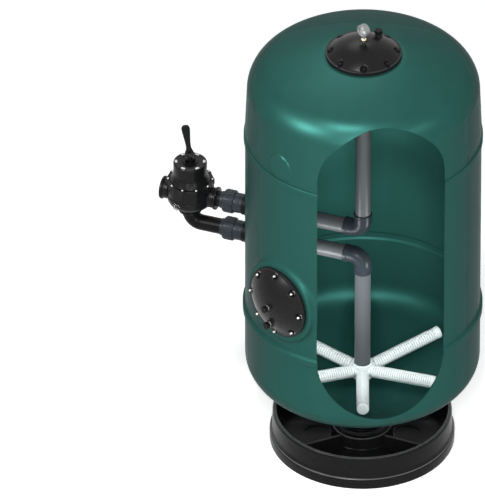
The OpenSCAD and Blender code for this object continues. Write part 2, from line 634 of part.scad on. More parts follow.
module inner_elbow_lower() color([0.2, 0.2, 0.24]) inner_elbow(line_low_z, -1);
module riser_pipe() color([0.42, 0.4, 0.4]) tube(pipe_r, pipe_r - pipe_t, line_up_z + elbow_bend + air, riser_top_z);
module down_pipe() color([0.42, 0.4, 0.4]) tube(pipe_r, pipe_r - pipe_t, hub_floor + air, line_low_z - elbow_bend - air);
module top_diffuser() color([0.9, 0.9, 0.88]) difference() {
  union() {
    rod(pipe_r + 5, riser_top_z - 25, riser_top_z + 30);
    rod(diffuser_r, riser_top_z + 30, riser_top_z + 36);
  }
  rod(pipe_r + fit, riser_top_z - 26, riser_top_z + air);
  rod(pipe_r - pipe_t, riser_top_z - 1, riser_top_z + 29);
  around(8, pipe_r, 22.5) translate([-12, -5, riser_top_z + 6]) cube([24, 10, 18]);
}
module collector_hub() color([0.92, 0.92, 0.9]) difference() {
  union() {
    rod(hub_r, hub_z - 30, hub_top);
    rod(20, dish_in_z + 0.6, hub_z - 29);
  }
  rod(pipe_r + fit, hub_floor, hub_top + 1);
  rod(pipe_r - pipe_t, hub_z, hub_top);
  rod(hub_in_r, hub_z - 22, hub_z + 24);
  for (i = [0 : lateral_n - 1]) rotate([0, 0, 30 + i * 360 / lateral_n]) translate([0, 0, hub_z]) rotate([0, 90 - lateral_tilt, 0])
    rod(16 + fit, 28, 60);
}
module laterals() color([0.93, 0.93, 0.91]) for (i = [0 : lateral_n - 1]) rotate([0, 0, 30 + i * 360 / lateral_n])
  translate([0, 0, hub_z]) rotate([0, 90 - lateral_tilt, 0]) rotate_extrude($fn = 48) {
    pitch = (lateral_l - lateral_r - lateral_start - 8) / ridge_n;
    polygon(concat(
      [[12, 36], [16, 36], [16, lateral_start], [lateral_r, lateral_start]],
      [for (i = [0 : ridge_n - 1], j = [0 : 3]) [lateral_r - (j == 1 || j == 2 ? 1.4 : 0), lateral_start + 8 + pitch * (i + [0, 0.01, 0.38, 0.39][j])]],
      [for (i = [0 : 8]) [lateral_r * cos(90 * i / 8), lateral_l - lateral_r + lateral_r * sin(90 * i / 8)]],
      [[0, lateral_l - 6], [lateral_r - 6, lateral_l - lateral_r], [lateral_r - 6, lateral_start + 5], [12, lateral_start]]));
  }

module drain_body() color([0.06, 0.06, 0.07]) at_drain() difference() {
  union() {
    rod(10, -18, 23);
    hex(36, 22, 34);
    rod(14, 33, 78);
  }
  rod(6, -20, 80);
}
module drain_cap() color([0.06, 0.06, 0.07]) at_drain() difference() {
  union() {
    rod(19, 34 + air, 84);
    translate([0, 0, 39]) linear_extrude(height = 40) around(12, 18.8) circle(r = 2, $fn = 12);
  }
  rod(14 + fit, 30, 78 + air);
}

base_stand();
support_collar();
tank_bottom_dish();
tank_wall();
tank_top_dome();
top_cover();
top_cover_oring();
top_cover_studs();
top_cover_nuts();
gauge_stem();
gauge_case();
gauge_dial();
gauge_pointer();
gauge_lens();
air_bleed_plug();
air_bleed_oring();
manhole_cover();
manhole_oring();
manhole_studs();
manhole_washers();
manhole_nuts();
cover_plug_centre();
cover_plug_lower();
cover_plug_orings();
bulkhead_upper();
bulkhead_lower();
bulkhead_nuts();
coupling_upper();
coupling_lower();
coupling_orings();
union_orings();
union_tail_upper();
union_tail_lower();
union_nut_upper();
union_nut_lower();
stub_pipe();
elbow_pipe();
valve_body();
valve_gasket();
valve_cover();
valve_cover_screws();
valve_rotor();
valve_spring();
thrust_washer();
valve_handle();
handle_pin();
position_pads();
sight_glass();
inner_pipe_upper();
inner_pipe_lower();
inner_elbow_upper();
inner_elbow_lower();
riser_pipe();
top_diffuser();
down_pipe();
collector_hub();
laterals();
drain_body();
drain_cap();
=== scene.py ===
import math
import bpy
import bmesh
import numpy as np
from mathutils import Matrix, Vector


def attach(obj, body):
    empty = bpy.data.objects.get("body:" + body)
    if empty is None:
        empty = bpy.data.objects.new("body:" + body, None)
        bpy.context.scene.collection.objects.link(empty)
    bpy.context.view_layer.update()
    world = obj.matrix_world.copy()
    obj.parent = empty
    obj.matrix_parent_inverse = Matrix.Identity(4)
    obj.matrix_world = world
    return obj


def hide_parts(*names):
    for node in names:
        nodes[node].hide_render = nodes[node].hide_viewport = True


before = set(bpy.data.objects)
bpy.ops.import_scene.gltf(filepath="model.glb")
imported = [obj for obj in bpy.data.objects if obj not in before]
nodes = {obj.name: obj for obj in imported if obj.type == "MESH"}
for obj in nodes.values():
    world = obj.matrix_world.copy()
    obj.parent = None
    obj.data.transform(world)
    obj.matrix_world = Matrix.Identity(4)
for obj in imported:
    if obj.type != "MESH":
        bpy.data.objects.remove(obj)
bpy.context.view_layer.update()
print("frame loaded:", len(nodes), "nodes")

# where the pieces stand, in metres and degrees, as the solids have them
place = {"tankRadius": 0.461, "wall": 0.008, "seat": 1.8227, "seatReach": 0.165, "opening": 0.103, "lineUp": 0.993,
    "lineLow": 0.863, "lineTurn": 160, "padOut": 0.462, "nippleEnd": 0.494, "couplingEnd": 0.547, "valveReach": 0.719,
    "manhole": 0.879, "manholeFace": 0.465, "coverTurn": 225, "window": 0.252, "windowLow": 0.654,
    "windowHigh": 1.502, "windowTurn": 10}


def turnBy(degrees, axis="Z"):
    return Matrix.Rotation(math.radians(degrees), 4, axis)


def moveBy(x, y, z):
    return Matrix.Translation((x, y, z))


def axisFrame(turn, height, reach=0.0, tilt=90):
    # local z runs outward along the axis, local x points down
    return turnBy(turn) @ moveBy(reach, 0, height) @ turnBy(tilt, "Y")


def upright(x, y, z, turn=0):
    return moveBy(x, y, z) @ turnBy(turn)


def polar(radius, degrees):
    return radius * math.cos(math.radians(degrees)), radius * math.sin(math.radians(degrees))


lineFrame = {"upper": axisFrame(place["lineTurn"], place["lineUp"]),
    "lower": axisFrame(place["lineTurn"], place["lineLow"])}
manholeFrame = axisFrame(place["coverTurn"], place["manhole"], place["manholeFace"])
topFrame = upright(0, 0, place["seat"])
valveFrame = upright(*polar(place["valveReach"], place["lineTurn"]), place["lineUp"], place["lineTurn"])

# the lens is very long, because the picture has no perspective
photoView = {"centre": Vector((-0.4708, 0, 0.8916)), "height": 1.956, "elevation": 35.264, "lens": 1500, "sensor": 36,
    "clip": (1, 400)}


def makeCamera():
    tilt = math.radians(photoView["elevation"])
    data = bpy.data.cameras.new("photoCamera")
    data.lens, data.sensor_width, data.sensor_fit = photoView["lens"], photoView["sensor"], "AUTO"
    data.clip_start, data.clip_end = photoView["clip"]
    distance = photoView["height"] * photoView["lens"] / photoView["sensor"]
    back = Vector((0, -math.cos(tilt), math.sin(tilt)))
    camera = bpy.data.objects.new("photoCamera", data)
    camera.location = photoView["centre"] + back * distance
    camera.rotation_mode = "QUATERNION"
    camera.rotation_quaternion = (-back).to_track_quat("-Z", "Y")
    bpy.context.scene.collection.objects.link(camera)
    bpy.context.scene.camera = camera


makeCamera()


def setInputs(node, **values):
    # an underscore in a label stands for a space
    for label, value in values.items():
        node.inputs[label.replace("_", " ")].default_value = value
    return node


def wire(tree, *links):
    # each link is (node, its output, node, its input)
    for source, out, target, into in links:
        tree.links.new(source.outputs[out], target.inputs[into])


def newGroup(name, inputs, outputs):
    group = bpy.data.node_groups.new(name, "ShaderNodeTree")
    for label, kind, value in inputs:
        socket = group.interface.new_socket(label, in_out="INPUT", socket_type="NodeSocket" + kind)
        socket.default_value = value
    for label, kind in outputs:
        group.interface.new_socket(label, in_out="OUTPUT", socket_type="NodeSocket" + kind)
    return group, group.nodes.new("NodeGroupInput"), group.nodes.new("NodeGroupOutput")


def mixColour(tree, fac, first, second):
    mix = tree.nodes.new("ShaderNodeMix")
    mix.data_type = "RGBA"
    for index, value in ((0, fac), (6, first), (7, second)):
        if isinstance(value, bpy.types.NodeSocket):
            tree.links.new(value, mix.inputs[index])
        else:
            mix.inputs[index].default_value = value
    return mix.outputs[2]


def makeToneDrift():
    # slow cloudy change between two tones, plus fine specks; also drives roughness
    group, gin, gout = newGroup("toneDrift",
        [("Tone", "Color", (.5, .5, .5, 1)), ("Second Tone", "Color", (.4, .4, .4, 1)), ("Scale", "Float", 6),
        ("Stretch", "Vector", (1, 1, 1)), ("Speck", "Float", .1), ("Rough Low", "Float", .3),
        ("Rough High", "Float", .45)], [("Color", "Color"), ("Roughness", "Float")])
    new = group.nodes.new
    coords, mapping = new("ShaderNodeTexCoord"), new("ShaderNodeMapping")
    cloud = setInputs(new("ShaderNodeTexNoise"), Detail=4, Roughness=.55)
    speck = setInputs(new("ShaderNodeTexNoise"), Scale=420, Detail=2)
    speckRamp = setInputs(new("ShaderNodeMapRange"), From_Min=.62, From_Max=.75)
    rough = setInputs(new("ShaderNodeMapRange"), From_Min=.3, From_Max=.7)
    speckRamp.clamp = rough.clamp = True
    wire(group, (coords, "Object", mapping, "Vector"), (gin, "Stretch", mapping, "Scale"),
        (mapping, 0, cloud, "Vector"), (gin, "Scale", cloud, "Scale"), (coords, "Object", speck, "Vector"),
        (speck, "Fac", speckRamp, "Value"), (gin, "Speck", speckRamp, "To Max"), (cloud, "Fac", rough, "Value"),
        (gin, "Rough Low", rough, "To Min"), (gin, "Rough High", rough, "To Max"), (rough, 0, gout, "Roughness"))
    base = mixColour(group, cloud.outputs["Fac"], gin.outputs["Tone"], gin.outputs["Second Tone"])
    specked = mixColour(group, speckRamp.outputs[0], base, gin.outputs["Second Tone"])
    group.links.new(specked, gout.inputs["Color"])
    return group


def makeMouldGrain():
    # fine moulded grain with a slower waviness under it
    group, gin, gout = newGroup("mouldGrain", [("Grain Scale", "Float", 600), ("Grain Height", "Float", .1),
        ("Wave Scale", "Float", 9), ("Wave Height", "Float", 0)], [("Normal", "Vector")])
    coords, bumps = group.nodes.new("ShaderNodeTexCoord"), []
    for label, detail, distance in (("Wave", 1, .006), ("Grain", 2, .0006)):
        noise = setInputs(group.nodes.new("ShaderNodeTexNoise"), Detail=detail)
        bump = setInputs(group.nodes.new("ShaderNodeBump"), Distance=distance)
        wire(group, (coords, "Object", noise, "Vector"), (gin, label + " Scale", noise, "Scale"),
            (noise, "Fac", bump, "Height"), (gin, label + " Height", bump, "Strength"))
        bumps.append(bump)
    wire(group, (bumps[0], 0, bumps[1], "Normal"), (bumps[1], 0, gout, "Normal"))
    return group


toneDrift, mouldGrain = makeToneDrift(), makeMouldGrain()
print("shader groups built")


def addGroup(tree, group, **values):
    node = tree.nodes.new("ShaderNodeGroup")
    node.node_tree = group
    return setInputs(node, **values)


def solidColour(rgb):
    return (rgb[0], rgb[1], rgb[2], 1)


def makeFinish(name, spec):
    material = bpy.data.materials.new(name)
    material.use_nodes = True
    tree = material.node_tree
    grain, wave = spec.get("grain", (600, .1)), spec.get("wave", (9, 0))
    tone = addGroup(tree, toneDrift, Tone=solidColour(spec["tone"]), Second_Tone=solidColour(spec["second"]),
        Scale=spec["scale"], Stretch=spec.get("stretch", (1, 1, 1)), Speck=spec.get("speck", .1),
        Rough_Low=spec["rough"][0], Rough_High=spec["rough"][1])
    relief = addGroup(tree, mouldGrain, Grain_Scale=grain[0], Grain_Height=grain[1], Wave_Scale=wave[0],
        Wave_Height=wave[1])
    shader = setInputs(tree.nodes["Principled BSDF"], Metallic=spec.get("metal", 0), IOR=spec.get("ior", 1.33),
        Specular_Tint=solidColour(spec.get("edge", (1, 1, 1))))
    wire(tree, (tone, "Color", shader, "Base Color"), (tone, "Roughness", shader, "Roughness"),
        (relief, "Normal", shader, "Normal"))
    material.diffuse_color = solidColour(spec["tone"])
    return material


finishes = {
    "tankGreen": dict(tone=(.0205, .086, .0745), second=(.0165, .076, .066), scale=2.2, stretch=(1, 1, .35),
        speck=.10, rough=(.38, .44), grain=(340, .04), wave=(7, .04), metal=.5, ior=1.24, edge=(.06, .10, .10)),
    "standBlack": dict(tone=(.006, .006, .0065), second=(.009, .009, .0095), scale=7, rough=(.24, .32),
        grain=(520, .1), ior=1.18),
    # painted highlight: a paler grey for the narrow upturned rounded edges of the stand and collar
    "standEdge": dict(tone=(.15, .152, .152), second=(.085, .087, .087), scale=26, rough=(.22, .3), grain=(520, .05)),
    "coverBlack": dict(tone=(.008, .008, .008), second=(.012, .012, .012), scale=9, rough=(.24, .32), grain=(620, .1),
        ior=1.2),
    "knobBlack": dict(tone=(.007, .007, .008), second=(.011, .011, .012), scale=30, rough=(.28, .4), grain=(900, .2),
        ior=1.15),
    "valveBlack": dict(tone=(.006, .006, .0065), second=(.010, .010, .0105), scale=14, rough=(.22, .32),
        grain=(700, .1), ior=1.19),
    "pipeBlack": dict(tone=(.006, .006, .0065), second=(.009, .009, .0095), scale=12, stretch=(1, 1, .3),
        rough=(.24, .34), grain=(800, .05), ior=1.14),
    "pipeGrey": dict(tone=(.086, .097, .104), second=(.070, .078, .085), scale=10, stretch=(1, 1, .12), speck=.2,
        rough=(.34, .44), grain=(700, .06)),
    "unionSlate": dict(tone=(.030, .039, .048), second=(.022, .028, .035), scale=16, rough=(.28, .4), grain=(800, .1),
        ior=1.2),
    "elbowSlate": dict(tone=(.026, .034, .042), second=(.019, .025, .031), scale=16, rough=(.25, .34),
        grain=(800, .08), ior=1.2),
    "collectorWhite": dict(tone=(.72, .785, .78), second=(.62, .685, .68), scale=18, rough=(.38, .52),
        grain=(900, .12)),
    # painted shade: dark grey for the lateral slits and the diffuser slot cutters, standing for the shaded hollow
    # seen through each slot
    "slotShade": dict(tone=(.14, .16, .16), second=(.10, .12, .12), scale=18, rough=(.5, .6), grain=(900, .1)),
    "sealBlack": dict(tone=(.010, .010, .010), second=(.018, .018, .018), scale=60, rough=(.55, .7),
        grain=(1500, .3)),
    "sealPale": dict(tone=(.46, .46, .44), second=(.38, .38, .36), scale=60, rough=(.5, .62), grain=(1500, .2)),
    "studSteel": dict(tone=(.66, .65, .62), second=(.52, .51, .49), scale=80, rough=(.26, .4), metal=1,
        grain=(1500, .15)),
    "washerSteel": dict(tone=(.42, .42, .42), second=(.30, .30, .30), scale=80, rough=(.3, .45), metal=1,
        grain=(1500, .2)),
    "springSteel": dict(tone=(.50, .50, .50), second=(.38, .38, .38), scale=80, rough=(.3, .4), metal=1),
    "brassPale": dict(tone=(.70, .64, .46), second=(.58, .50, .33), scale=70, rough=(.25, .38), metal=1,
        grain=(1500, .12)),
    "gaugeEnamel": dict(tone=(.30, .31, .31), second=(.22, .23, .23), scale=40, rough=(.28, .4), grain=(900, .08)),
    "dialWhite": dict(tone=(.82, .82, .80), second=(.76, .76, .73), scale=60, rough=(.5, .6)),
    "inkBlack": dict(tone=(.012, .012, .012), second=(.016, .016, .016), scale=60, rough=(.4, .5)),
    "padWhite": dict(tone=(.80, .80, .78), second=(.72, .72, .70), scale=60, rough=(.42, .55), grain=(900, .1)),
    "rotorPale": dict(tone=(.55, .55, .52), second=(.46, .46, .44), scale=40, rough=(.4, .5)),
}
finish = {name: makeFinish(name, spec) for name, spec in finishes.items()}


def makeClear():
    material = bpy.data.materials.new("clearLens")
    material.use_nodes = True
    setInputs(material.node_tree.nodes["Principled BSDF"], Base_Color=(.93, .96, .96, 1), Roughness=.06, IOR=1.46,
        Transmission_Weight=.92, Alpha=.35)
    return material


finish["clearLens"] = makeClear()


def makeTankFinish():
    # the tank also carries slow vertical runs of a paler green
    tree = finish["tankGreen"].node_tree
    base, new = tree.nodes["Principled BSDF"].inputs["Base Color"], tree.nodes.new
    coords, mapping = new("ShaderNodeTexCoord"), setInputs(new("ShaderNodeMapping"), Scale=(14, 14, .7))
    runs = setInputs(new("ShaderNodeTexNoise"), Scale=1.2, Detail=3)
    ramp = setInputs(new("ShaderNodeMapRange"), From_Min=.35, From_Max=.75, To_Max=.28)
    wire(tree, (coords, "Object", mapping, "Vector"), (mapping, 0, runs, "Vector"), (runs, "Fac", ramp, "Value"))
    tree.links.new(mixColour(tree, ramp.outputs[0], base.links[0].from_socket, (.024, .100, .087, 1)), base)


makeTankFinish()
print("finishes built:", len(finish))

nodeFinish = {
    "standBlack": ["base_stand", "support_collar"], "coverBlack": ["top_cover", "manhole_cover"],
    "tankGreen": ["tank_bottom_dish", "tank_wall", "tank_top_dome"],
    "sealBlack": ["top_cover_oring", "air_bleed_oring", "manhole_oring", "coupling_orings", "union_orings"],
    "washerSteel": ["manhole_washers"], "sealPale": ["cover_plug_orings"],
    "studSteel": ["top_cover_studs", "manhole_studs", "valve_cover_screws", "handle_pin"],
    "springSteel": ["valve_spring"], "brassPale": ["gauge_stem"], "gaugeEnamel": ["gauge_case"],
    "dialWhite": ["gauge_dial"], "inkBlack": ["gauge_pointer"], "clearLens": ["gauge_lens", "sight_glass"],
    "knobBlack": ["air_bleed_plug", "cover_plug_centre", "cover_plug_lower", "drain_body", "drain_cap",
        "bulkhead_upper", "bulkhead_lower", "bulkhead_nuts", "top_cover_nuts", "manhole_nuts"],
    "unionSlate": ["coupling_upper", "coupling_lower", "union_tail_upper", "union_tail_lower", "union_nut_upper",
        "union_nut_lower"],
    "elbowSlate": ["inner_elbow_upper", "inner_elbow_lower"], "pipeBlack": ["stub_pipe", "elbow_pipe"],
    "pipeGrey": ["inner_pipe_upper", "inner_pipe_lower", "riser_pipe", "down_pipe"],
    "valveBlack": ["valve_body", "valve_cover", "valve_handle", "valve_rotor", "thrust_washer"],
    "rotorPale": ["valve_gasket"],
    "padWhite": ["position_pads"], "collectorWhite": ["collector_hub", "laterals", "top_diffuser"],
}
for label, names in nodeFinish.items():
    for name in names:
        mesh = nodes[name].data
        mesh.materials.clear()
        mesh.materials.append(finish[label])
print("CAD nodes dressed")


# the floor turns whiter between the two distances of "fade", so that low views end in white too
stage = {"size": 60, "tone": .86, "rough": .9, "gloss": .1, "fade": (2.5, 9), "lift": .54, "farLift": .86,
    "worldTone": (.93, .95, .97), "worldStrength": .18}


def seenRays(tree):
    # camera, glossy and transmission rays all meet the white background
    path = tree.nodes.new("ShaderNodeLightPath")
    total = path.outputs["Is Camera Ray"]
    for label in ("Is Glossy Ray", "Is Transmission Ray"):
        add = tree.nodes.new("ShaderNodeMath")
        add.operation, add.use_clamp = "ADD", True
        tree.links.new(total, add.inputs[0])
        tree.links.new(path.outputs[label], add.inputs[1])
        total = add.outputs[0]
    return total


def makeFloor():
    mesh = bpy.data.meshes.new("studioFloor")
    half = stage["size"] / 2
    mesh.from_pydata([(-half, -half, 0), (half, -half, 0), (half, half, 0), (-half, half, 0)], [], [(0, 1, 2, 3)])
    floor = bpy.data.objects.new("studioFloor", mesh)
    bpy.context.scene.collection.objects.link(floor)
    material = bpy.data.materials.new("studioFloor")
    material.use_nodes = True
    tree = material.node_tree
    new = tree.nodes.new
    shader = setInputs(tree.nodes["Principled BSDF"], Base_Color=(stage["tone"],) * 3 + (1,),
        Roughness=stage["rough"], Specular_IOR_Level=stage["gloss"])
    lift, add, coords = new("ShaderNodeEmission"), new("ShaderNodeAddShader"), new("ShaderNodeTexCoord")
    reach, scale = new("ShaderNodeVectorMath"), new("ShaderNodeMath")
    reach.operation, scale.operation = "LENGTH", "MULTIPLY"
    fade = setInputs(new("ShaderNodeMapRange"), From_Min=stage["fade"][0], From_Max=stage["fade"][1],
        To_Min=stage["lift"], To_Max=stage["farLift"])
    tree.links.new(seenRays(tree), scale.inputs[0])
    wire(tree, (coords, "Object", reach, 0), (reach, "Value", fade, "Value"), (fade, 0, scale, 1),
        (scale, 0, lift, "Strength"), (shader, 0, add, 0), (lift, 0, add, 1),
        (add, 0, tree.nodes["Material Output"], "Surface"))
    mesh.materials.append(material)


def makeWorld():
    world = bpy.data.worlds.new("studioWorld")
    world.use_nodes = True
    tree = world.node_tree
    plain = setInputs(tree.nodes["Background"], Color=solidColour(stage["worldTone"]),
        Strength=stage["worldStrength"])
    seen = setInputs(tree.nodes.new("ShaderNodeBackground"), Color=(1, 1, 1, 1))
    mix = tree.nodes.new("ShaderNodeMixShader")
    tree.links.new(seenRays(tree), mix.inputs[0])
    wire(tree, (plain, 0, mix, 1), (seen, 0, mix, 2), (mix, 0, tree.nodes["World Output"], "Surface"))
    bpy.context.scene.world = world


lamps = {
    "keyLamp": {"spot": (-4.86, -3.04, 5.0), "aim": (0, 0, 1.0), "size": 1.0, "power": 72},
    "glintLamp": {"spot": (-4.86, -3.04, 5.0), "aim": (0, 0, 1.2), "size": 2.6, "power": 430, "diffuse": False},
    "rightLamp": {"spot": (4.75, -3.2, 5.0), "aim": (0, 0, 1.0), "size": 1.0, "power": 60},
    "frontLamp": {"spot": (0, -6.0, 4.9), "aim": (.05, 0, .7), "size": 1.2, "power": 262},
    "lowLeftLamp": {"spot": (-2.3, -5.75, 2.9), "aim": (.05, .2, .5), "size": 1.2, "power": 55},
    "lowRightLamp": {"spot": (2.2, -5.8, 2.9), "aim": (.05, .2, .5), "size": 1.2, "power": 50},
    "topGlintLamp": {"spot": (-1.3, -2.6, 6.8), "aim": (0, 0, 1.4), "size": .9, "power": 190, "diffuse": False},
    "topLamp": {"spot": (-.9, -2.1, 7.0), "aim": (0, 0, 1.6), "size": .8, "power": 85},
    "backLamp": {"spot": (-.6, 4.3, 6.3), "aim": (0, 0, 1), "size": 3.2, "power": 80},
    "insideLeftLamp": {"spot": (-.30, -.25, .74), "aim": (.02, .44, .76), "size": .2, "power": 2.8},
    "insideRightLamp": {"spot": (.33, -.22, .74), "aim": (.02, .44, .76), "size": .2, "power": 2.5},
}


def makeLamps():
    for name, spec in lamps.items():
        data = bpy.data.lights.new(name, "AREA")
        data.shape, data.size, data.energy = "DISK", spec["size"], spec["power"]
        lamp = bpy.data.objects.new(name, data)
        lamp.location = spec["spot"]
        lamp.visible_camera, lamp.visible_diffuse = False, spec.get("diffuse", True)
        lamp.rotation_mode = "QUATERNION"
        lamp.rotation_quaternion = (Vector(spec["aim"]) - Vector(spec["spot"])).to_track_quat("-Z", "Y")
        bpy.context.scene.collection.objects.link(lamp)


makeFloor()
makeWorld()
makeLamps()
bpy.context.scene.view_settings.view_transform = "Standard"
print("stage and lamps set")


def soften(points, closed=False, steps=6):
    # (radius, height, corner radius) -> the outline with its corners rounded
    outline, count = [], len(points)
    for i, (r, z, k) in enumerate(points):
        corner = Vector((r, z))
        if k <= 0 or (not closed and i in (0, count - 1)):
            outline.append((r, z))
            continue
        u, v = Vector(points[i - 1][:2]) - corner, Vector(points[(i + 1) % count][:2]) - corner
        reach = min(u.length, v.length) * .49
        u.normalize()
        v.normalize()
        bend = math.acos(max(-1, min(1, u.dot(v))))
        if bend > math.pi - .03:
            outline.append((r, z))
            continue
        back = min(k / math.tan(bend / 2), reach)
        k = back * math.tan(bend / 2)
        centre = corner + (u + v).normalized() * (k / math.sin(bend / 2))
        start, end = corner + u * back - centre, corner + v * back - centre
        first = math.atan2(start.y, start.x)
        sweep = (math.atan2(end.y, end.x) - first + math.pi) % (2 * math.pi) - math.pi
        for j in range(steps + 1):
            a = first + sweep * j / steps
            outline.append((centre.x + k * math.cos(a), centre.y + k * math.sin(a)))
    return outline


def evenAngles(count):
    return [2 * math.pi * i / count for i in range(count)]


def rings(rows, count):
    # vertex numbers of evenly filled rings
    return [[k * count + i for i in range(count)] for k in range(rows)]


def ringFaces(rows, closed=False):
    # faces between neighbouring rings; a ring that repeats one number is a pole
    faces = []
    for low, high in zip(rows, rows[1:] + rows[:1] if closed else rows[1:]):
        if low[0] == low[-1] and high[0] == high[-1]:
            continue
        for i in range(len(low)):
            j = (i + 1) % len(low)
            face = [low[i], low[j], high[j], high[i]]
            faces.append([v for n, v in enumerate(face) if v != face[n - 1]])
    return faces


def turned(outline, turns=96, closed=False):
    # revolves an outline round local z; radius 0 closes to a pole, and a radius may be a function of the angle
    angles = evenAngles(turns)
    verts, rows = [], []
    for r, z in outline:
        if not callable(r) and abs(r) < 1e-7:
            rows.append([len(verts)] * turns)
            verts.append((0, 0, z))
        else:
            rows.append(list(range(len(verts), len(verts) + turns)))
            reach = [r(a) if callable(r) else r for a in angles]
            verts.extend((d * math.cos(a), d * math.sin(a), z) for d, a in zip(reach, angles))
    return verts, ringFaces(rows, closed)


def rod(radius, low, high, turns):
    return turned([(0, low), (radius, low), (radius, high), (0, high)], turns)


def lathed(points, turns, steps=6):
    return turned(soften(points, steps=steps), turns)


def ringed(points, turns, steps=6):
    return turned(soften(points, closed=True, steps=steps), turns, closed=True)


def prism(outline, low, high):
    # a flat outline given a height
    count = len(outline)
    verts = [(x, y, low) for x, y in outline] + [(x, y, high) for x, y in outline]
    faces = [[count - 1 - i for i in range(count)], [count + i for i in range(count)]]
    faces += [[i, (i + 1) % count, count + (i + 1) % count, count + i] for i in range(count)]
    return verts, faces


def bar(left, right, half, low, high):
    return prism([(left, -half), (right, -half), (right, half), (left, half)], low, high)


def moved(solid, matrix):
    return [tuple(matrix @ Vector(v)) for v in solid[0]], solid[1]


def joined(*solids):
    verts, faces = [], []
    for solid in solids:
        start = len(verts)
        verts.extend(solid[0])
        faces.extend([[start + i for i in face] for face in solid[1]])
    return verts, faces


def cleaned(mesh, weld=0):
    # normals point outward, and vertices closer than weld become one
    work = bmesh.new()
    work.from_mesh(mesh)
    if weld:
        bmesh.ops.remove_doubles(work, verts=work.verts, dist=weld)
    bmesh.ops.recalc_face_normals(work, faces=work.faces)
    work.to_mesh(mesh)
    work.free()
    return mesh


def toMesh(name, solid, outward=True):
    mesh = bpy.data.meshes.new(name)
    mesh.from_pydata(solid[0], [], solid[1])
    if outward:
        cleaned(mesh)
    mesh.update()
    return mesh


def settled(holder, name):
    # evaluates the modifiers, keeps the result as a plain mesh and drops the holder
    graph = bpy.context.evaluated_depsgraph_get()
    graph.update()
    mesh = bpy.data.meshes.new_from_object(holder.evaluated_get(graph), preserve_all_data_layers=True,
        depsgraph=graph)
    mesh.name = name
    old = holder.data
    bpy.data.objects.remove(holder)
    if old.users == 0:
        bpy.data.meshes.remove(old)
    return mesh


def holderOf(mesh):
    holder = bpy.data.objects.new("holder", mesh)
    bpy.context.scene.collection.objects.link(holder)
    return holder


def combined(mesh, other, operation):
    # other is a mesh or a (verts, faces) solid
    cutter = holderOf(other if isinstance(other, bpy.types.Mesh) else toMesh("other", other))
    holder = holderOf(mesh)
    step = holder.modifiers.new(operation, "BOOLEAN")
    step.operation, step.solver, step.object = operation, "EXACT", cutter
    result = settled(holder, mesh.name)
    bpy.data.objects.remove(cutter)
    return result


def carved(mesh, other):
    return combined(mesh, other, "DIFFERENCE")


def merged(mesh, other):
    return combined(mesh, other, "UNION")


def bevelled(mesh, width, segments, angle):
    holder = holderOf(mesh)
    bevel = holder.modifiers.new("bevel", "BEVEL")
    bevel.width, bevel.segments, bevel.limit_method, bevel.angle_limit = width, segments, "ANGLE", math.radians(angle)
    return settled(holder, mesh.name)


def assembled(parts):
    # (mesh or solid, matrix) pairs put together as one mesh
    work = bmesh.new()
    material = None
    for part, matrix in parts:
        copy = toMesh("part", part) if isinstance(part, tuple) else part.copy()
        material = material or (copy.materials[0] if len(copy.materials) else None)
        copy.transform(matrix)
        work.from_mesh(copy)
        bpy.data.meshes.remove(copy)
    result = bpy.data.meshes.new("assembled")
    for face in work.faces:
        face.material_index = 0
    work.to_mesh(result)
    work.free()
    if material:
        result.materials.append(material)
    return result


def addPiece(name, shape, finishName, slot, *replaces, body="vessel", sharp=32):
    # shape is a mesh or a list of (part, matrix) pairs; replaces is the CAD node that the piece stands in for
    mesh = assembled(shape) if isinstance(shape, list) else shape
    mesh.name = name
    if not len(mesh.materials):
        mesh.materials.append(finish[finishName])
    mesh.shade_smooth()
    mesh.set_sharp_from_angle(angle=math.radians(sharp))
    piece = bpy.data.objects.new(name, mesh)
    bpy.context.scene.collection.objects.link(piece)
    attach(piece, body)
    if replaces:
        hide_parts(*replaces)
    return piece


def paintEdgeHighlight(piece, finishName, widest=.004, up=.8):
    # painted highlight: the narrow rounded edges that face up get a paler grey material than the flats beside them,
    # standing in for the highlight their fillets catch
    mesh = piece.data
    mesh.materials.append(finish[finishName])
    work = bmesh.new()
    work.from_mesh(mesh)
    for face in work.faces:
        reach = max(edge.calc_length() for edge in face.edges)
        turns = any(len(edge.link_faces) == 2 and edge.is_convex and edge.calc_face_angle(0) > math.radians(6)
            for edge in face.edges)
        if turns and face.normal.z > up and face.calc_area() < widest * reach:
            face.material_index = 1
    work.to_mesh(mesh)
    work.free()


def softMin(a, b, k):
    h = np.clip(.5 + .5 * (b - a) / k, 0, 1)
    return b * (1 - h) + a * h - k * h * (1 - h)


def softMax(a, b, k):
    return -softMin(-a, -b, k)


def steppedAngles(zones, coarse):
    # angles round the tank in radians, finer where a boss needs it; zones are (middle, half width, step) in degrees
    marks, at = [], 0.0
    while at < 360 - 1e-6:
        marks.append(at)
        step = coarse
        for middle, half, fine in zones:
            away = abs((at - middle + 180) % 360 - 180)
            if away < half + fine:
                step = min(step, fine)
            elif away < half + coarse * 1.5:
                step = min(step, max(fine, away - half))
        at += step
    return [math.radians(m) for m in marks]


def steppedHeights(low, high, zones, coarse):
    marks, at = [low], low
    while at < high - 1e-6:
        step = coarse
        for start, end, fine in zones:
            if start - fine <= at <= end:
                step = min(step, fine)
            elif at < start:
                step = min(step, max(fine, start - at))
        at = min(at + step, high)
        marks.append(at)
    return marks


# tank shell
shell = {"crown": 1.174, "domeKnuckle": .1213, "dishKnuckle": .1065, "domeRadius": .4543, "domeLine": 1.659,
    "dishLine": .421, "beltLow": (.623, .662, .009), "beltHigh": (1.427, 1.456, .0055), "skirtLine": 1.500,
    "manholeBoss": .171, "blankBoss": .056, "blankHeight": 1.513, "padRadius": .062, "collarSeat": .238,
    "turnStep": 2.0}


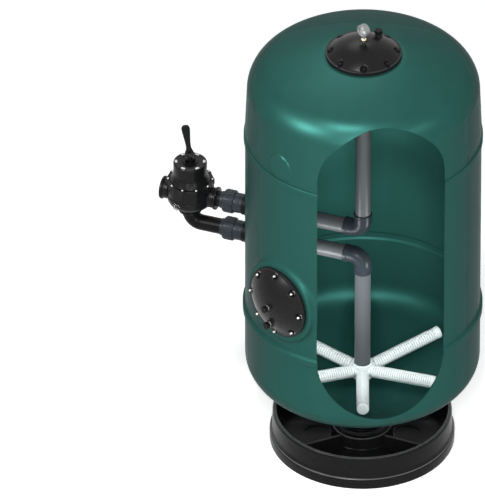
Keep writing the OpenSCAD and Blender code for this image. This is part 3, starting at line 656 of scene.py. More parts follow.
def windowCutter():
    # an upright slot with round ends, cut from the front
    half, steps = place["window"], 64
    outline = []
    for height, first in ((place["windowHigh"], 0), (place["windowLow"], math.pi)):
        for i in range(steps + 1):
            a = first + math.pi * i / steps
            outline.append((half * math.cos(a), height + half * math.sin(a)))
    near, far = .12, .62
    return moved(prism(outline, near, far), turnBy(place["windowTurn"]) @ turnBy(90, "X"))


def discField(points, frameMatrix, radius, face, edge):
    # distance to a flat round boss whose axis is the frame's z
    inverse = np.array(frameMatrix.inverted())
    local = points @ inverse[:3, :3].T + inverse[:3, 3]
    across = np.hypot(local[:, 0], local[:, 1]) - radius + edge
    along = np.abs(local[:, 2] - face + .05) - .05 + edge
    return np.hypot(np.maximum(across, 0), np.maximum(along, 0)) + np.minimum(np.maximum(across, along), 0) - edge


def raiseBosses(points, normals, bosses):
    # walks each point along its normal to the blended surface of wall and bosses
    lowest, highest, halvings = -.002, .06, 26
    low, high = np.full(len(points), lowest), np.full(len(points), highest)
    for _ in range(halvings):
        middle = (low + high) / 2
        here = points + normals * middle[:, None]
        field = middle.copy()
        for frameMatrix, radius, face, edge, fillet in bosses:
            field = softMin(field, discField(here, frameMatrix, radius, face, edge), fillet)
        inside = field < 0
        low, high = np.where(inside, middle, low), np.where(inside, high, middle)
    return points + normals * ((low + high) / 2)[:, None]


def gridPiece(outer, inner, angles, bosses=()):
    # outer and inner are lists of (radius, height, normal r, normal z); the outer skin gets the bosses
    around = list(zip(np.cos(angles), np.sin(angles)))

    def skin(rows):
        return (np.array([(r * c, r * s, z) for r, z, nr, nz in rows for c, s in around]),
            np.array([(nr * c, nr * s, nz) for r, z, nr, nz in rows for c, s in around]))

    points, normals = skin(outer)
    if bosses:
        points = raiseBosses(points, normals, bosses)
    verts = [tuple(v) for v in np.vstack([points, skin(inner)[0]])]
    return verts, ringFaces(rings(len(outer) + len(inner), len(angles)), closed=True)


# vertices closer than this, in metres, are welded where a ring ends in a pole
poleWeld = 1e-5


def sideRow(r, z):
    return (r, z, 1.0, 0.0)


def dishCentre(radius, knuckle, crown, line, way):
    # half angle of the crown and height of its centre
    half = math.asin((radius - knuckle) / (crown - knuckle))
    return half, line - way * (crown - knuckle) * math.cos(half)


def endRows(radius, knuckle, crown, line, way, stop, knuckleSteps, crownSteps):
    # rows of a dished end from its straight side to radius 'stop'
    half, centre = dishCentre(radius, knuckle, crown, line, way)
    rows = []
    for i in range(knuckleSteps + 1):
        t = (math.pi / 2 - half) * i / knuckleSteps
        rows.append((radius - knuckle + knuckle * math.cos(t), line + way * knuckle * math.sin(t), math.cos(t),
            way * math.sin(t)))
    last = math.asin(stop / crown)
    for i in range(1, crownSteps + 1):
        t = half + (last - half) * i / crownSteps
        rows.append((crown * math.sin(t), centre + way * crown * math.cos(t), math.sin(t), way * math.cos(t)))
    return rows


def makeWall():
    radius, inside = place["tankRadius"], place["tankRadius"] - place["wall"]
    beltLow, beltHigh = shell["beltLow"], shell["beltHigh"]
    heights = steppedHeights(beltLow[1] + .012, beltHigh[0] - .008, [(.700, 1.062, .004)], .022)

    def belt(low, high, out, softness):
        return soften([(radius, low - .006, 0), (radius, low, .003), (radius + out, low + out * .45, softness),
            (radius + out, high - out * .45, softness), (radius, high, .003), (radius, high + .006, 0)], steps=4)

    rows = [(radius, beltLow[0])] + [p for p in belt(*beltLow, .004) if p[1] > beltLow[0] + .0005]
    rows += [(radius, z) for z in heights[1:-1]]
    rows += [p for p in belt(*beltHigh, .003) if p[1] < beltHigh[1] - .0005] + [(radius, beltHigh[1])]
    rows = [sideRow(*row) for i, row in enumerate(rows) if i == 0 or row[1] > rows[i - 1][1] + 1e-5]
    inner = soften([(inside, beltHigh[1], 0), (inside, beltHigh[1] - .004, .002),
        (inside + .003, beltHigh[1] - .008, .003), (inside + .003, beltHigh[0] + .008, .003),
        (inside, beltHigh[0] + .004, .002), (inside, 1.2, 0), (inside, .95, 0), (inside, beltLow[1] + .001, .003),
        (inside + .0055, beltLow[1] - .009, .004), (inside + .0055, beltLow[0] + .009, .004),
        (inside, beltLow[0] + .001, .0005), (inside, beltLow[0], 0)], steps=4)
    bosses = [(axisFrame(place["coverTurn"], place["manhole"]), shell["manholeBoss"], place["manholeFace"], .010,
        .026), (lineFrame["upper"], shell["padRadius"], place["padOut"], .002, .006),
        (lineFrame["lower"], shell["padRadius"], place["padOut"], .002, .006)]
    angles = steppedAngles([(place["coverTurn"], 25, .42), (place["lineTurn"], 9.5, .6)], shell["turnStep"])
    mesh = toMesh("tankWall", gridPiece(rows, [sideRow(r, z) for r, z in inner], angles, bosses))
    hole = moved(rod(place["opening"], -.08, .03, 96), manholeFrame)
    mesh = carved(mesh, joined(windowCutter(), hole))
    addPiece("tankWall", mesh, "tankGreen", "tank_shell", "tank_wall")


def makeDome():
    radius, wall = place["tankRadius"], place["wall"]
    beltTop, skirt, line = shell["beltHigh"][1], shell["skirtLine"], shell["domeLine"]
    fine = steppedHeights(beltTop, skirt, [(beltTop, skirt, .004)], .02)
    rows = [sideRow(radius, z) for z in fine]
    for z in steppedHeights(skirt, line, [(skirt, skirt + .08, .004)], .016)[1:-1]:
        rows.append(sideRow(radius - (radius - shell["domeRadius"]) * (z - skirt) / (line - skirt), z))
    rows += endRows(shell["domeRadius"], shell["domeKnuckle"], shell["crown"], line, 1, place["seatReach"], 22, 24)
    seat, opening = place["seat"], place["opening"]
    rim = [(place["seatReach"] - .004, seat), (opening + .002, seat), (opening, seat - .002), (opening, seat - .034),
        (opening + .002, seat - .036), (place["seatReach"], seat - .036)]
    inner = endRows(shell["domeRadius"] - wall, shell["domeKnuckle"] - wall, shell["crown"] - wall, line, 1,
        place["seatReach"], 16, 16)[::-1]
    inner += [sideRow(radius - wall, skirt), sideRow(radius - wall, beltTop)]
    bosses = [(axisFrame(place["coverTurn"], shell["blankHeight"]), shell["blankBoss"], radius + .0025, .002, .006)]
    angles = steppedAngles([(place["coverTurn"], 9, .45)], shell["turnStep"])
    solid = gridPiece(rows, [(r, z, 0, 1) for r, z in rim] + inner, angles, bosses)
    mesh = carved(toMesh("tankDome", solid), windowCutter())
    addPiece("tankDome", mesh, "tankGreen", "tank_shell", "tank_top_dome")


def makeDish():
    radius, wall, beltLow = place["tankRadius"], place["wall"], shell["beltLow"][0]
    outer = [sideRow(radius, beltLow), sideRow(radius, beltLow - .06), sideRow(radius, beltLow - .13)]
    outer += endRows(radius, shell["dishKnuckle"], shell["crown"], shell["dishLine"], -1, .151, 22, 14)
    _, crownCentre = dishCentre(radius, shell["dishKnuckle"], shell["crown"], shell["dishLine"], -1)
    under = crownCentre - shell["crown"]
    seat = shell["collarSeat"]
    foot = [(.150, seat + .016, 0, -1), (.150, .240, 0, -1), (.148, seat, 0, -1), (.126, seat, 0, -1),
        (.124, .240, 0, -1), (.124, under + .0065, 0, -1), (.06, under + .0016, 0, -1), (1e-7, under, 0, -1)]
    inner = endRows(radius - wall, shell["dishKnuckle"] - wall, shell["crown"] - wall, shell["dishLine"], -1, 1e-7,
        22, 22)[::-1]
    inner += [sideRow(radius - wall, beltLow - .1), sideRow(radius - wall, beltLow)]
    solid = gridPiece(outer, foot + inner, steppedAngles([], shell["turnStep"]))
    mesh = carved(cleaned(toMesh("tankDish", solid), poleWeld), windowCutter())
    addPiece("tankDish", mesh, "tankGreen", "tank_shell", "tank_bottom_dish")


makeWall()
makeDome()
makeDish()
print("tank shell built")


def makeRepeatRound():
    # a unit placed round local z, given a random spin, then repeated in rows along z
    tree = bpy.data.node_groups.new("repeatRound", "GeometryNodeTree")
    for label, kind in (("Geometry", "Geometry"), ("Unit", "Object"), ("Count", "Int"), ("Reach", "Float"),
            ("Start", "Float"), ("Sweep", "Float"), ("Spin", "Float"), ("Seed", "Int"), ("Rows", "Int"),
            ("Pitch", "Float"), ("Finish", "Material")):
        tree.interface.new_socket(label, in_out="INPUT", socket_type="NodeSocket" + kind)
    tree.interface.new_socket("Geometry", in_out="OUTPUT", socket_type="NodeSocketGeometry")
    make, link = tree.nodes.new, tree.links.new
    gin, gout = make("NodeGroupInput"), make("NodeGroupOutput")
    given = gin.outputs

    def maths(operation, first, second=None):
        node = make("ShaderNodeMath")
        node.operation = operation
        for socket, value in zip(node.inputs, (first, second)):
            if isinstance(value, bpy.types.NodeSocket):
                link(value, socket)
            elif value is not None:
                socket.default_value = value
        return node.outputs[0]

    unit, points, index = make("GeometryNodeObjectInfo"), make("GeometryNodePoints"), make("GeometryNodeInputIndex")
    spot, moveTo = make("ShaderNodeCombineXYZ"), make("GeometryNodeSetPosition")
    share = maths("DIVIDE", given["Sweep"], given["Count"])
    turn = maths("ADD", given["Start"], maths("MULTIPLY", index.outputs[0], share))
    link(maths("MULTIPLY", maths("COSINE", turn), given["Reach"]), spot.inputs[0])
    link(maths("MULTIPLY", maths("SINE", turn), given["Reach"]), spot.inputs[1])
    loose = make("FunctionNodeRandomValue")
    loose.data_type = "FLOAT"
    least, most = [socket for socket in loose.inputs if socket.type == "VALUE"][:2]
    link(maths("MULTIPLY", given["Spin"], -1.0), least)
    link(given["Spin"], most)
    link(given["Seed"], loose.inputs["Seed"])
    random = next(socket for socket in loose.outputs if socket.type == "VALUE")
    euler, angle = make("ShaderNodeCombineXYZ"), make("FunctionNodeEulerToRotation")
    placed, rows = make("GeometryNodeInstanceOnPoints"), make("GeometryNodeInstanceOnPoints")
    link(maths("ADD", turn, random), euler.inputs[2])
    row, step = make("GeometryNodeMeshLine"), make("ShaderNodeCombineXYZ")
    solid, dress = make("GeometryNodeRealizeInstances"), make("GeometryNodeSetMaterial")
    wire(tree, (gin, "Unit", unit, "Object"), (gin, "Count", points, "Count"), (points, 0, moveTo, "Geometry"),
        (spot, 0, moveTo, "Position"), (euler, 0, angle, 0), (moveTo, 0, placed, "Points"),
        (unit, "Geometry", placed, "Instance"), (angle, 0, placed, "Rotation"), (gin, "Rows", row, "Count"),
        (gin, "Pitch", step, 2), (step, 0, row, "Offset"), (row, 0, rows, "Points"), (placed, 0, rows, "Instance"),
        (rows, 0, solid, 0), (solid, 0, dress, "Geometry"), (gin, "Finish", dress, "Material"), (dress, 0, gout, 0))
    return tree


repeatRound = makeRepeatRound()


def repeated(unit, count, reach, finishName, start=0.0, sweep=360.0, spin=0.0, seed=3, rows=1, pitch=0.0):
    # angles in degrees; gives back a plain mesh
    source, holder = holderOf(toMesh("unit", unit)), holderOf(bpy.data.meshes.new("repeats"))
    build = holder.modifiers.new("repeat", "NODES")
    build.node_group = repeatRound
    values = {"Unit": source, "Count": count, "Reach": float(reach), "Start": math.radians(start),
        "Sweep": math.radians(sweep), "Spin": math.radians(spin), "Seed": seed, "Rows": rows, "Pitch": float(pitch),
        "Finish": finish[finishName]}
    for item in repeatRound.interface.items_tree:
        if item.in_out == "INPUT" and item.name in values:
            build[item.identifier] = values[item.name]
    mesh = settled(holder, "repeats")
    old = source.data
    bpy.data.objects.remove(source)
    bpy.data.meshes.remove(old)
    return mesh


def inset(reach, by):
    return lambda a: (reach(a) if callable(reach) else reach) - by


def softBlock(reach, low, high, edgeLow, edgeHigh, steps=4):
    # rows of a block whose outline is reach(angle), with both ends rounded
    rows = [(0, low)]
    for i in range(steps + 1):
        t = math.pi / 2 * i / steps
        rows.append((inset(reach, edgeLow * (1 - math.sin(t))), low + edgeLow * (1 - math.cos(t))))
    for i in range(steps + 1):
        t = math.pi / 2 * i / steps
        rows.append((inset(reach, edgeHigh * (1 - math.cos(t))), high - edgeHigh * (1 - math.sin(t))))
    return rows + [(0, high)]


def hexReach(flats, limit):
    return lambda a: min(flats / 2 / math.cos(a % (math.pi / 3) - math.pi / 6), flats / 2 * limit)


def hexRows(flats, low, high):
    # a hexagon with the turned chamfer of a real nut
    edge = flats * .07
    return [(hexReach(flats, 1.0), low), (hexReach(flats, 1.16), low + edge), (hexReach(flats, 1.16), high - edge),
        (hexReach(flats, 1.0), high)]


def threaded(radius, low, high, pitch, depth):
    # rows of a stud with its thread as fine rings and a chamfered tip
    rows, at = [(0, low), (radius - depth, low)], low + pitch * .2
    while at < high - pitch * 1.6:
        rows += [(radius, at + pitch * .3), (radius, at + pitch * .45), (radius - depth, at + pitch)]
        at += pitch
    return rows + [(radius - depth * 1.6, high - pitch * .3), (radius - depth * 2.6, high), (0, high)]


# covers
cover = {"flange": .149, "flangeHeight": .0125, "dome": .141, "rise": .050, "thick": .008, "opening": .098,
    "studRing": .132, "pocket": .0128, "draft": .22, "plugOut": .082, "bossTop": .0645, "bossRadius": .0155,
    "plugBore": .0081}
cover["sphere"] = (cover["dome"] ** 2 + cover["rise"] ** 2) / (2 * cover["rise"])
cover["centre"] = cover["flangeHeight"] + cover["rise"] - cover["sphere"]
cover["plugTop"] = cover["centre"] + math.sqrt(cover["sphere"] ** 2 - cover["plugOut"] ** 2) + .007
studTurns = [45 * i for i in range(8)]


def coverHeight(x, y, plugTurn):
    # top surface of the moulded cover: dome, a drafted pocket round each stud, a raised boss for each plug
    r = np.hypot(x, y)
    height = cover["centre"] + np.sqrt(np.maximum(cover["sphere"] ** 2 - r ** 2, 1e-9))
    away = np.full_like(r, 9.0)
    for turn in studTurns:
        studX, studY = polar(cover["studRing"], turn)
        away = np.minimum(away, np.hypot(x - studX, y - studY))
    pocket = cover["flangeHeight"] + np.maximum(away - cover["pocket"], 0) / cover["draft"]
    height = softMax(softMin(height, pocket, .0035), np.full_like(r, cover["flangeHeight"]), .003)
    for plugX, plugY, top in ((0, 0, cover["bossTop"]), (*polar(cover["plugOut"], plugTurn), cover["plugTop"])):
        away = np.hypot(x - plugX, y - plugY)
        boss = top - np.maximum(away - cover["bossRadius"] + .001, 0) / .16
        height = softMax(height, softMin(boss, np.full_like(r, top), .001), .004)
    return np.minimum(height, cover["bossTop"])


def makeCover(name, frameMatrix, plugTurn, node):
    angles = steppedAngles([(turn, 7.5, .55) for turn in studTurns] + [(plugTurn, 15, .9)], 2.5)
    cosines, sines = np.cos(angles), np.sin(angles)
    radii = [1e-7]
    for low, high, steps in ((.006, .020, 8), (.026, .060, 6), (.0635, .1005, 19), (.104, .1465, 38)):
        radii += list(np.linspace(low, high, steps))
    top = [(r, coverHeight(r * cosines, r * sines, plugTurn)) for r in radii]
    edge = soften([(.1465, .0125, 0), (cover["flange"], .0125, .0024), (cover["flange"], 0, .0012),
        (cover["opening"], 0, 0)], steps=5)[1:]
    inside = cover["sphere"] - cover["thick"]
    last = math.asin(cover["opening"] / inside)
    under = [(inside * math.sin(last * t), cover["centre"] + inside * math.cos(last * t))
        for t in np.linspace(1, 1e-6, 12)]
    rows = [np.stack([r * cosines, r * sines, np.broadcast_to(z, len(angles))], axis=1)
        for r, z in top + edge + under]
    solid = [tuple(v) for v in np.vstack(rows)], ringFaces(rings(len(rows), len(angles)))
    mesh = cleaned(toMesh(name, solid, outward=False), poleWeld)
    bore, stud = rod(cover["plugBore"], -.01, .08, 40), rod(.0053, .002, .03, 24)
    holes = [bore, moved(bore, upright(*polar(cover["plugOut"], plugTurn), 0))]
    holes += [moved(stud, upright(*polar(cover["studRing"], turn), 0)) for turn in studTurns]
    mesh = carved(mesh, joined(*holes))
    mesh.transform(frameMatrix)
    addPiece(name, mesh, "coverBlack", "cover_black", node, sharp=40)


def lobed(core, reach, lobes, flat=.75):
    return lambda a: core + (reach - core) * ((1 + math.cos(lobes * a)) / 2) ** flat


def knobSolid(base, lobes, reach):
    # collar, waist and lobed grip with a dished top
    grip = lobed(reach * .66, reach, lobes)
    rows = soften([(.008, base - .020, 0), (.008, base + .0039, 0), (.013, base + .0039, .0006),
        (.013, base + .0075, .0015)], steps=4)
    rows = [(0, base - .020)] + rows + [(reach * .6, base + .0078)]
    block = softBlock(grip, base + .0082, base + .022, .002, .0028, 5)[1:-1]
    rows += block + [(inset(grip, .0062), base + .0214), (.004, base + .0205), (0, base + .0205)]
    return turned(rows, 96)


def makeCoverFittings():
    makeCover("topCover", topFrame, 45, "top_cover")
    makeCover("manholeCover", manholeFrame, 0, "manhole_cover")
    topStud = turned(threaded(.005, -.0277, .0215, .0015, .0005), 24)
    longStud = turned(threaded(.005, -.0297, .031, .0015, .0005), 24)
    capNut = turned([(0, .0126)] + hexRows(.017, .0126, .0205) + [(.007, .0205), (.0068, .0222), (.0052, .023),
        (0, .023)], 48)
    low = cover["flangeHeight"] + .0032
    nut = turned(hexRows(.016, low, low + .009) + [(.0056, low + .009), (.0051, low + .0084), (.0051, low + .0006),
        (.0056, low)], 48, closed=True)
    flat = ringed([(.0051, .0125, 0), (.0095, .0125, .0003), (.0095, .0141, .0005), (.0051, .0141, .0002)], 36, 2)
    spring = ringed([(.0051, .0141, 0), (.0085, .0141, .0003), (.0085, .0157, .0003), (.0051, .0157, .0002)], 36, 2)
    fittings = (
        ("topStuds", topStud, "studSteel", topFrame, "stud_steel", "top_cover_studs", 50, 0, 3),
        ("manholeStuds", longStud, "studSteel", manholeFrame, "stud_steel", "manhole_studs", 50, 0, 3),
        ("topNuts", capNut, "knobBlack", topFrame, "nut_black", "top_cover_nuts", 30, 30, 5),
        ("manholeNuts", nut, "knobBlack", manholeFrame, "nut_black", "manhole_nuts", 30, 30, 9),
        ("manholeWashers", joined(flat, spring), "washerSteel", manholeFrame, "washer_steel", "manhole_washers", 30,
            0, 3),
    )
    for name, unit, finishName, spot, slot, node, sharp, spin, seed in fittings:
        units = repeated(unit, len(studTurns), cover["studRing"], finishName, spin=spin, seed=seed)
        addPiece(name, [(units, spot)], finishName, slot, node, sharp=sharp)
    bleedSpot = topFrame @ upright(*polar(cover["plugOut"], 45), 0, 45)
    knobs = (
        ("airBleedKnob", bleedSpot, "plugTop", 5, .017, "bleed_knob", "air_bleed_plug"),
        ("coverKnobCentre", manholeFrame, "bossTop", 3, .015, "plug_centre", "cover_plug_centre"),
        ("coverKnobLower", manholeFrame @ upright(cover["plugOut"], 0, 0), "plugTop", 3, .015, "plug_lower",
            "cover_plug_lower"),
    )
    for name, spot, top, lobes, reach, body, node in knobs:
        addPiece(name, [(knobSolid(cover[top], lobes, reach), spot)], "knobBlack", "knob_black", node, body=body,
            sharp=35)


makeCoverFittings()
print("covers built")


# stand and collar
stand = {"foot": .364, "wall": .354, "height": .1385, "floor": .012, "hub": .120, "hubTop": .065, "recess": .052,
    "recessOut": .177}


def makeStand():
    w, top = stand["wall"], stand["height"]
    outline = soften([(0, 0, 0), (stand["foot"], 0, .002), (stand["foot"], .042, .005), (w + .003, .046, .004),
        (w, .060, .006), (w - .001, top - .012, .006), (w - .005, top - .003, .006), (w - .012, top, .006),
        (w - .017, top - .003, .005), (w - .019, top - .012, .006), (w - .017, stand["floor"], .008),
        (stand["hub"], stand["floor"], .008), (stand["hub"], stand["hubTop"], .006), (.094, stand["hubTop"], .002),
        (.0905, stand["hubTop"] - .003, .001), (.08605, stand["hubTop"] - .003, 0), (.08605, stand["floor"], 0),
        (0, stand["floor"], 0)], steps=5)
    mesh = toMesh("baseStand", turned(outline, 144))
    rib = [(.1145, .008), (w - .012, .008), (w - .012, top - .014), (stand["hub"] - .002, stand["hubTop"] - .005),
        (.1145, stand["hubTop"] - .005)]
    ribs = [moved(prism(rib, -.006, .006), turnBy(45 + 90 * i) @ turnBy(90, "X")) for i in range(4)]
    mesh = merged(mesh, joined(*ribs))
    cup = rod(stand["recess"], .007, .03, 72)
    cups = [moved(cup, upright(way * stand["recessOut"], 0, 0)) for way in (1, -1)]
    mesh = carved(mesh, joined(*cups))
    mesh = bevelled(mesh, .0024, 3, 38)
    # the stand's narrow upturned edges get a paler grey as a painted highlight
    paintEdgeHighlight(addPiece("baseStand", mesh, "standBlack", "stand_black", "base_stand", sharp=40), "standEdge")
    collar = soften([(.052, .012, 0), (.086, .012, 0), (.086, .068, .003), (.070, .070, .003), (.070, .081, .003),
        (.062, .085, .004), (.062, .165, .03), (.150, .222, .010), (.150, shell["collarSeat"], .0015),
        (.124, shell["collarSeat"], 0), (.124, .218, .004), (.052, .175, .01)], closed=True, steps=6)
    # the collar's narrow upturned edges get the same paler grey painted highlight
    paintEdgeHighlight(addPiece("supportCollar", toMesh("supportCollar", turned(collar, 120, closed=True)), "standBlack",
        "stand_black", "support_collar"), "standEdge", .003)


makeStand()
print("stand built")


# collector
collector = {"height": .318, "hub": .042, "radius": .025, "length": .355, "tilt": 9.4, "start": .052, "rows": 27,
    "pitch": .010}


def makeCollector():
    radius, length, start = collector["radius"], collector["length"], collector["start"]
    core = radius - .0014
    outline = soften([(0, .036, 0), (.016, .036, .0005), (.016, start - .002, .001), (.0185, start, .002),
        (radius, start, .0015), (radius, start + .008, .0008), (core, start + .0082, .0002),
        (core, length - .0152, .0002), (radius, length - .015, .0004), (radius, length, .004), (0, length, 0)],
        steps=4)
    tube = turned(outline, 48)
    low = start + .008 + collector["pitch"] * .38
    ridge = ringed([(core - .001, low, 0), (radius, low, .0007), (radius, low + .0062, .0007),
        (core - .001, low + .0062, 0)], 40, steps=2)
    # the slits are thin dark sheets lying on the core, painted shade for the openings of the slots
    slit = [(.0002 + core * math.cos(t), core * math.sin(t)) for t in np.linspace(-.62, .62, 9)]
    slit += [(core * .985 * math.cos(t), core * .985 * math.sin(t)) for t in np.linspace(.62, -.62, 9)]
    slot = prism(slit, start + .0092, start + .0106)
    ridges = repeated(ridge, 1, 0, "collectorWhite", rows=collector["rows"], pitch=collector["pitch"])
    slots = repeated(slot, 4, 0, "slotShade", start=45, rows=collector["rows"], pitch=collector["pitch"])
    places = [axisFrame(30 + 60 * i, collector["height"], 0, 90 - collector["tilt"]) for i in range(6)]
    addPiece("laterals", [(ridges, m) for m in places] + [(tube, m) for m in places], "collectorWhite",
        "collector_white", "laterals", sharp=40)
    addPiece("lateralSlots", [(slots, m) for m in places], "slotShade", "collector_white", sharp=40)
    top, h = .356, collector["height"]
    hub = soften([(0, .2422, 0), (.020, .2422, .001), (.020, h - .030, .004), (collector["hub"], h - .030, .005),
        (collector["hub"], top, .006), (.0345, top, .001), (.0316, top - .002, .0005), (.0316, top - .011, 0),
        (.0268, top - .011, 0), (.0268, h, 0), (0, h, 0)], steps=5)
    mesh = toMesh("collectorHub", turned(hub, 96))
    socket = lathed([(0, .026, 0), (.0225, .026, 0), (.0225, .0485, .002), (.0161, .0485, .0004), (.0161, .0355, 0),
        (0, .0355, 0)], 48)
    for m in places:
        mesh = merged(mesh, moved(socket, m))
    addPiece("collectorHub", mesh, "collectorWhite", "collector_white", "collector_hub", sharp=40)
    head = soften([(.03155, 1.675, 0), (.0365, 1.675, .001), (.0365, 1.730, .003), (.068, 1.7305, .002),
        (.070, 1.733, .0015), (.068, 1.736, .0015), (0, 1.736, 0)], steps=4) + [(0, 1.7295), (.0268, 1.7295),
        (.0268, 1.7004), (.03155, 1.7004), (.03155, 1.675)]
    mesh = cleaned(toMesh("topDiffuser", turned(head, 96)), poleWeld)
    cut = bar(-.012, .012, .004, 1.706, 1.724)
    mesh = carved(mesh, repeated(cut, 8, .0315, "slotShade", start=22.5))
    addPiece("topDiffuser", mesh, "collectorWhite", "collector_white", "top_diffuser", sharp=40)


makeCollector()
print("collector built")


def notched(radius, notches, depth):
    def reach(a):
        step = 2 * math.pi / notches
        side = abs((a + step / 2) % step - step / 2)
        across = radius * math.sin(side)
        return radius * math.cos(side) - math.sqrt(depth ** 2 - across ** 2) if across < depth else radius
    return reach


def bendPiece(sign):
    # a socket elbow swept round its bend; sign 1 turns up, -1 turns down
    bend, arm, socketRadius, bodyRadius, bore = .042, .075, .0365, .0348, .0268
    stations = [(0, arm, 90)] + [(0, arm - d, 90) for d in (.0008, .014, .0165, .024)]
    outer = [socketRadius - .0012, socketRadius, socketRadius, bodyRadius, bodyRadius]
    arc = [(bend - bend * math.cos(t), bend - bend * math.sin(t), 90 - math.degrees(t)) for t in np.linspace(0,
        math.pi / 2, 15)]
    stations = stations + arc + [(z, x, 0) for x, z, t in stations[::-1]]
    radii = outer + [bodyRadius] * len(arc) + outer[::-1]
    path = [(x, z, t, r) for (x, z, t), r in zip(stations, radii)]
    inner = [(0, arm, 90, .0316), (0, bend, 90, .0316)] + [(x, z, t, bore) for x, z, t in arc] + [(bend, 0, 0, .0316),
        (arm, 0, 0, .0316)]
    path = path + inner[::-1]
    count, verts = 64, []
    for x, z, t, r in path:
        side = Vector((math.sin(math.radians(t)), 0, math.cos(math.radians(t))))
        for a in evenAngles(count):
            p = Vector((x, 0, z)) + side * (r * math.cos(a)) + Vector((0, r * math.sin(a), 0))
            verts.append((p.x, p.y, sign * p.z))
    return verts, ringFaces(rings(len(path), count), closed=True)


def makeLines():
    near, far = place["nippleEnd"], place["couplingEnd"]
    sleeve = soften([(.026, near, 0), (.0395, near, .0015), (.0395, .503, .0006), (.0385, .5035, .0004),
        (.0385, .506, .0004), (.0395, .5065, .0006), (.0395, far, .001), (.026, far, 0)], closed=True, steps=3)
    nut = soften([(.0398, .530, .0008), (.0441, .530, .002), (.0441, .575, .004), (.0344, .575, .001),
        (.0344, .5536, 0), (.0398, .5536, 0)], closed=True, steps=4)
    rib = softBlock(lambda a: .0024, .532, .5715, .0018, .0024, 3)
    ribs = repeated(turned(rib, 14), 20, .0440, "unionSlate")
    for side, body in (("upper", "nut_upper"), ("lower", "nut_lower")):
        spot = lineFrame[side]
        addPiece("coupling" + side.title(), [(turned(sleeve, 80, closed=True), spot)], "unionSlate", "union_slate",
            "coupling_" + side)
        addPiece("unionNut" + side.title(), [(ribs, spot), (turned(nut, 80, closed=True), spot)], "unionSlate",
            "union_slate", "union_nut_" + side, body=body, sharp=40)
    reach = notched(.052, 8, .004)
    lock = [(.04205, .462), (reach, .462), (reach, .4728), (inset(reach, .0007), .4743), (inset(reach, .0022), .475),
        (.0445, .475), (.04205, .4738)]
    ring = turned(lock, 192, closed=True)
    addPiece("bulkheadNuts", [(ring, lineFrame["upper"]), (ring, lineFrame["lower"])], "knobBlack", "pipe_black",
        "bulkhead_nuts")
    for name, node, height, sign in (("elbowUpper", "inner_elbow_upper", place["lineUp"], 1),
            ("elbowLower", "inner_elbow_lower", place["lineLow"], -1)):
        spot = upright(0, 0, height, place["lineTurn"])
        addPiece(name, [(bendPiece(sign), spot)], "elbowSlate", "pipe_grey", node)


makeLines()
print("lines built")


# valve
valve = {"flange": .096, "port": .041, "lip": .046, "portReach": .116, "bell": .066, "bellTop": .150,
    "screwRing": .087, "screws": 10, "firstScrew": 18}


def eared(radius, ear):
    # flange edge with an ear at each of the ten screws
    return lambda a: radius + (ear - radius) * max(0,
        math.cos(valve["screws"] * (a - math.radians(valve["firstScrew"])))) ** .6


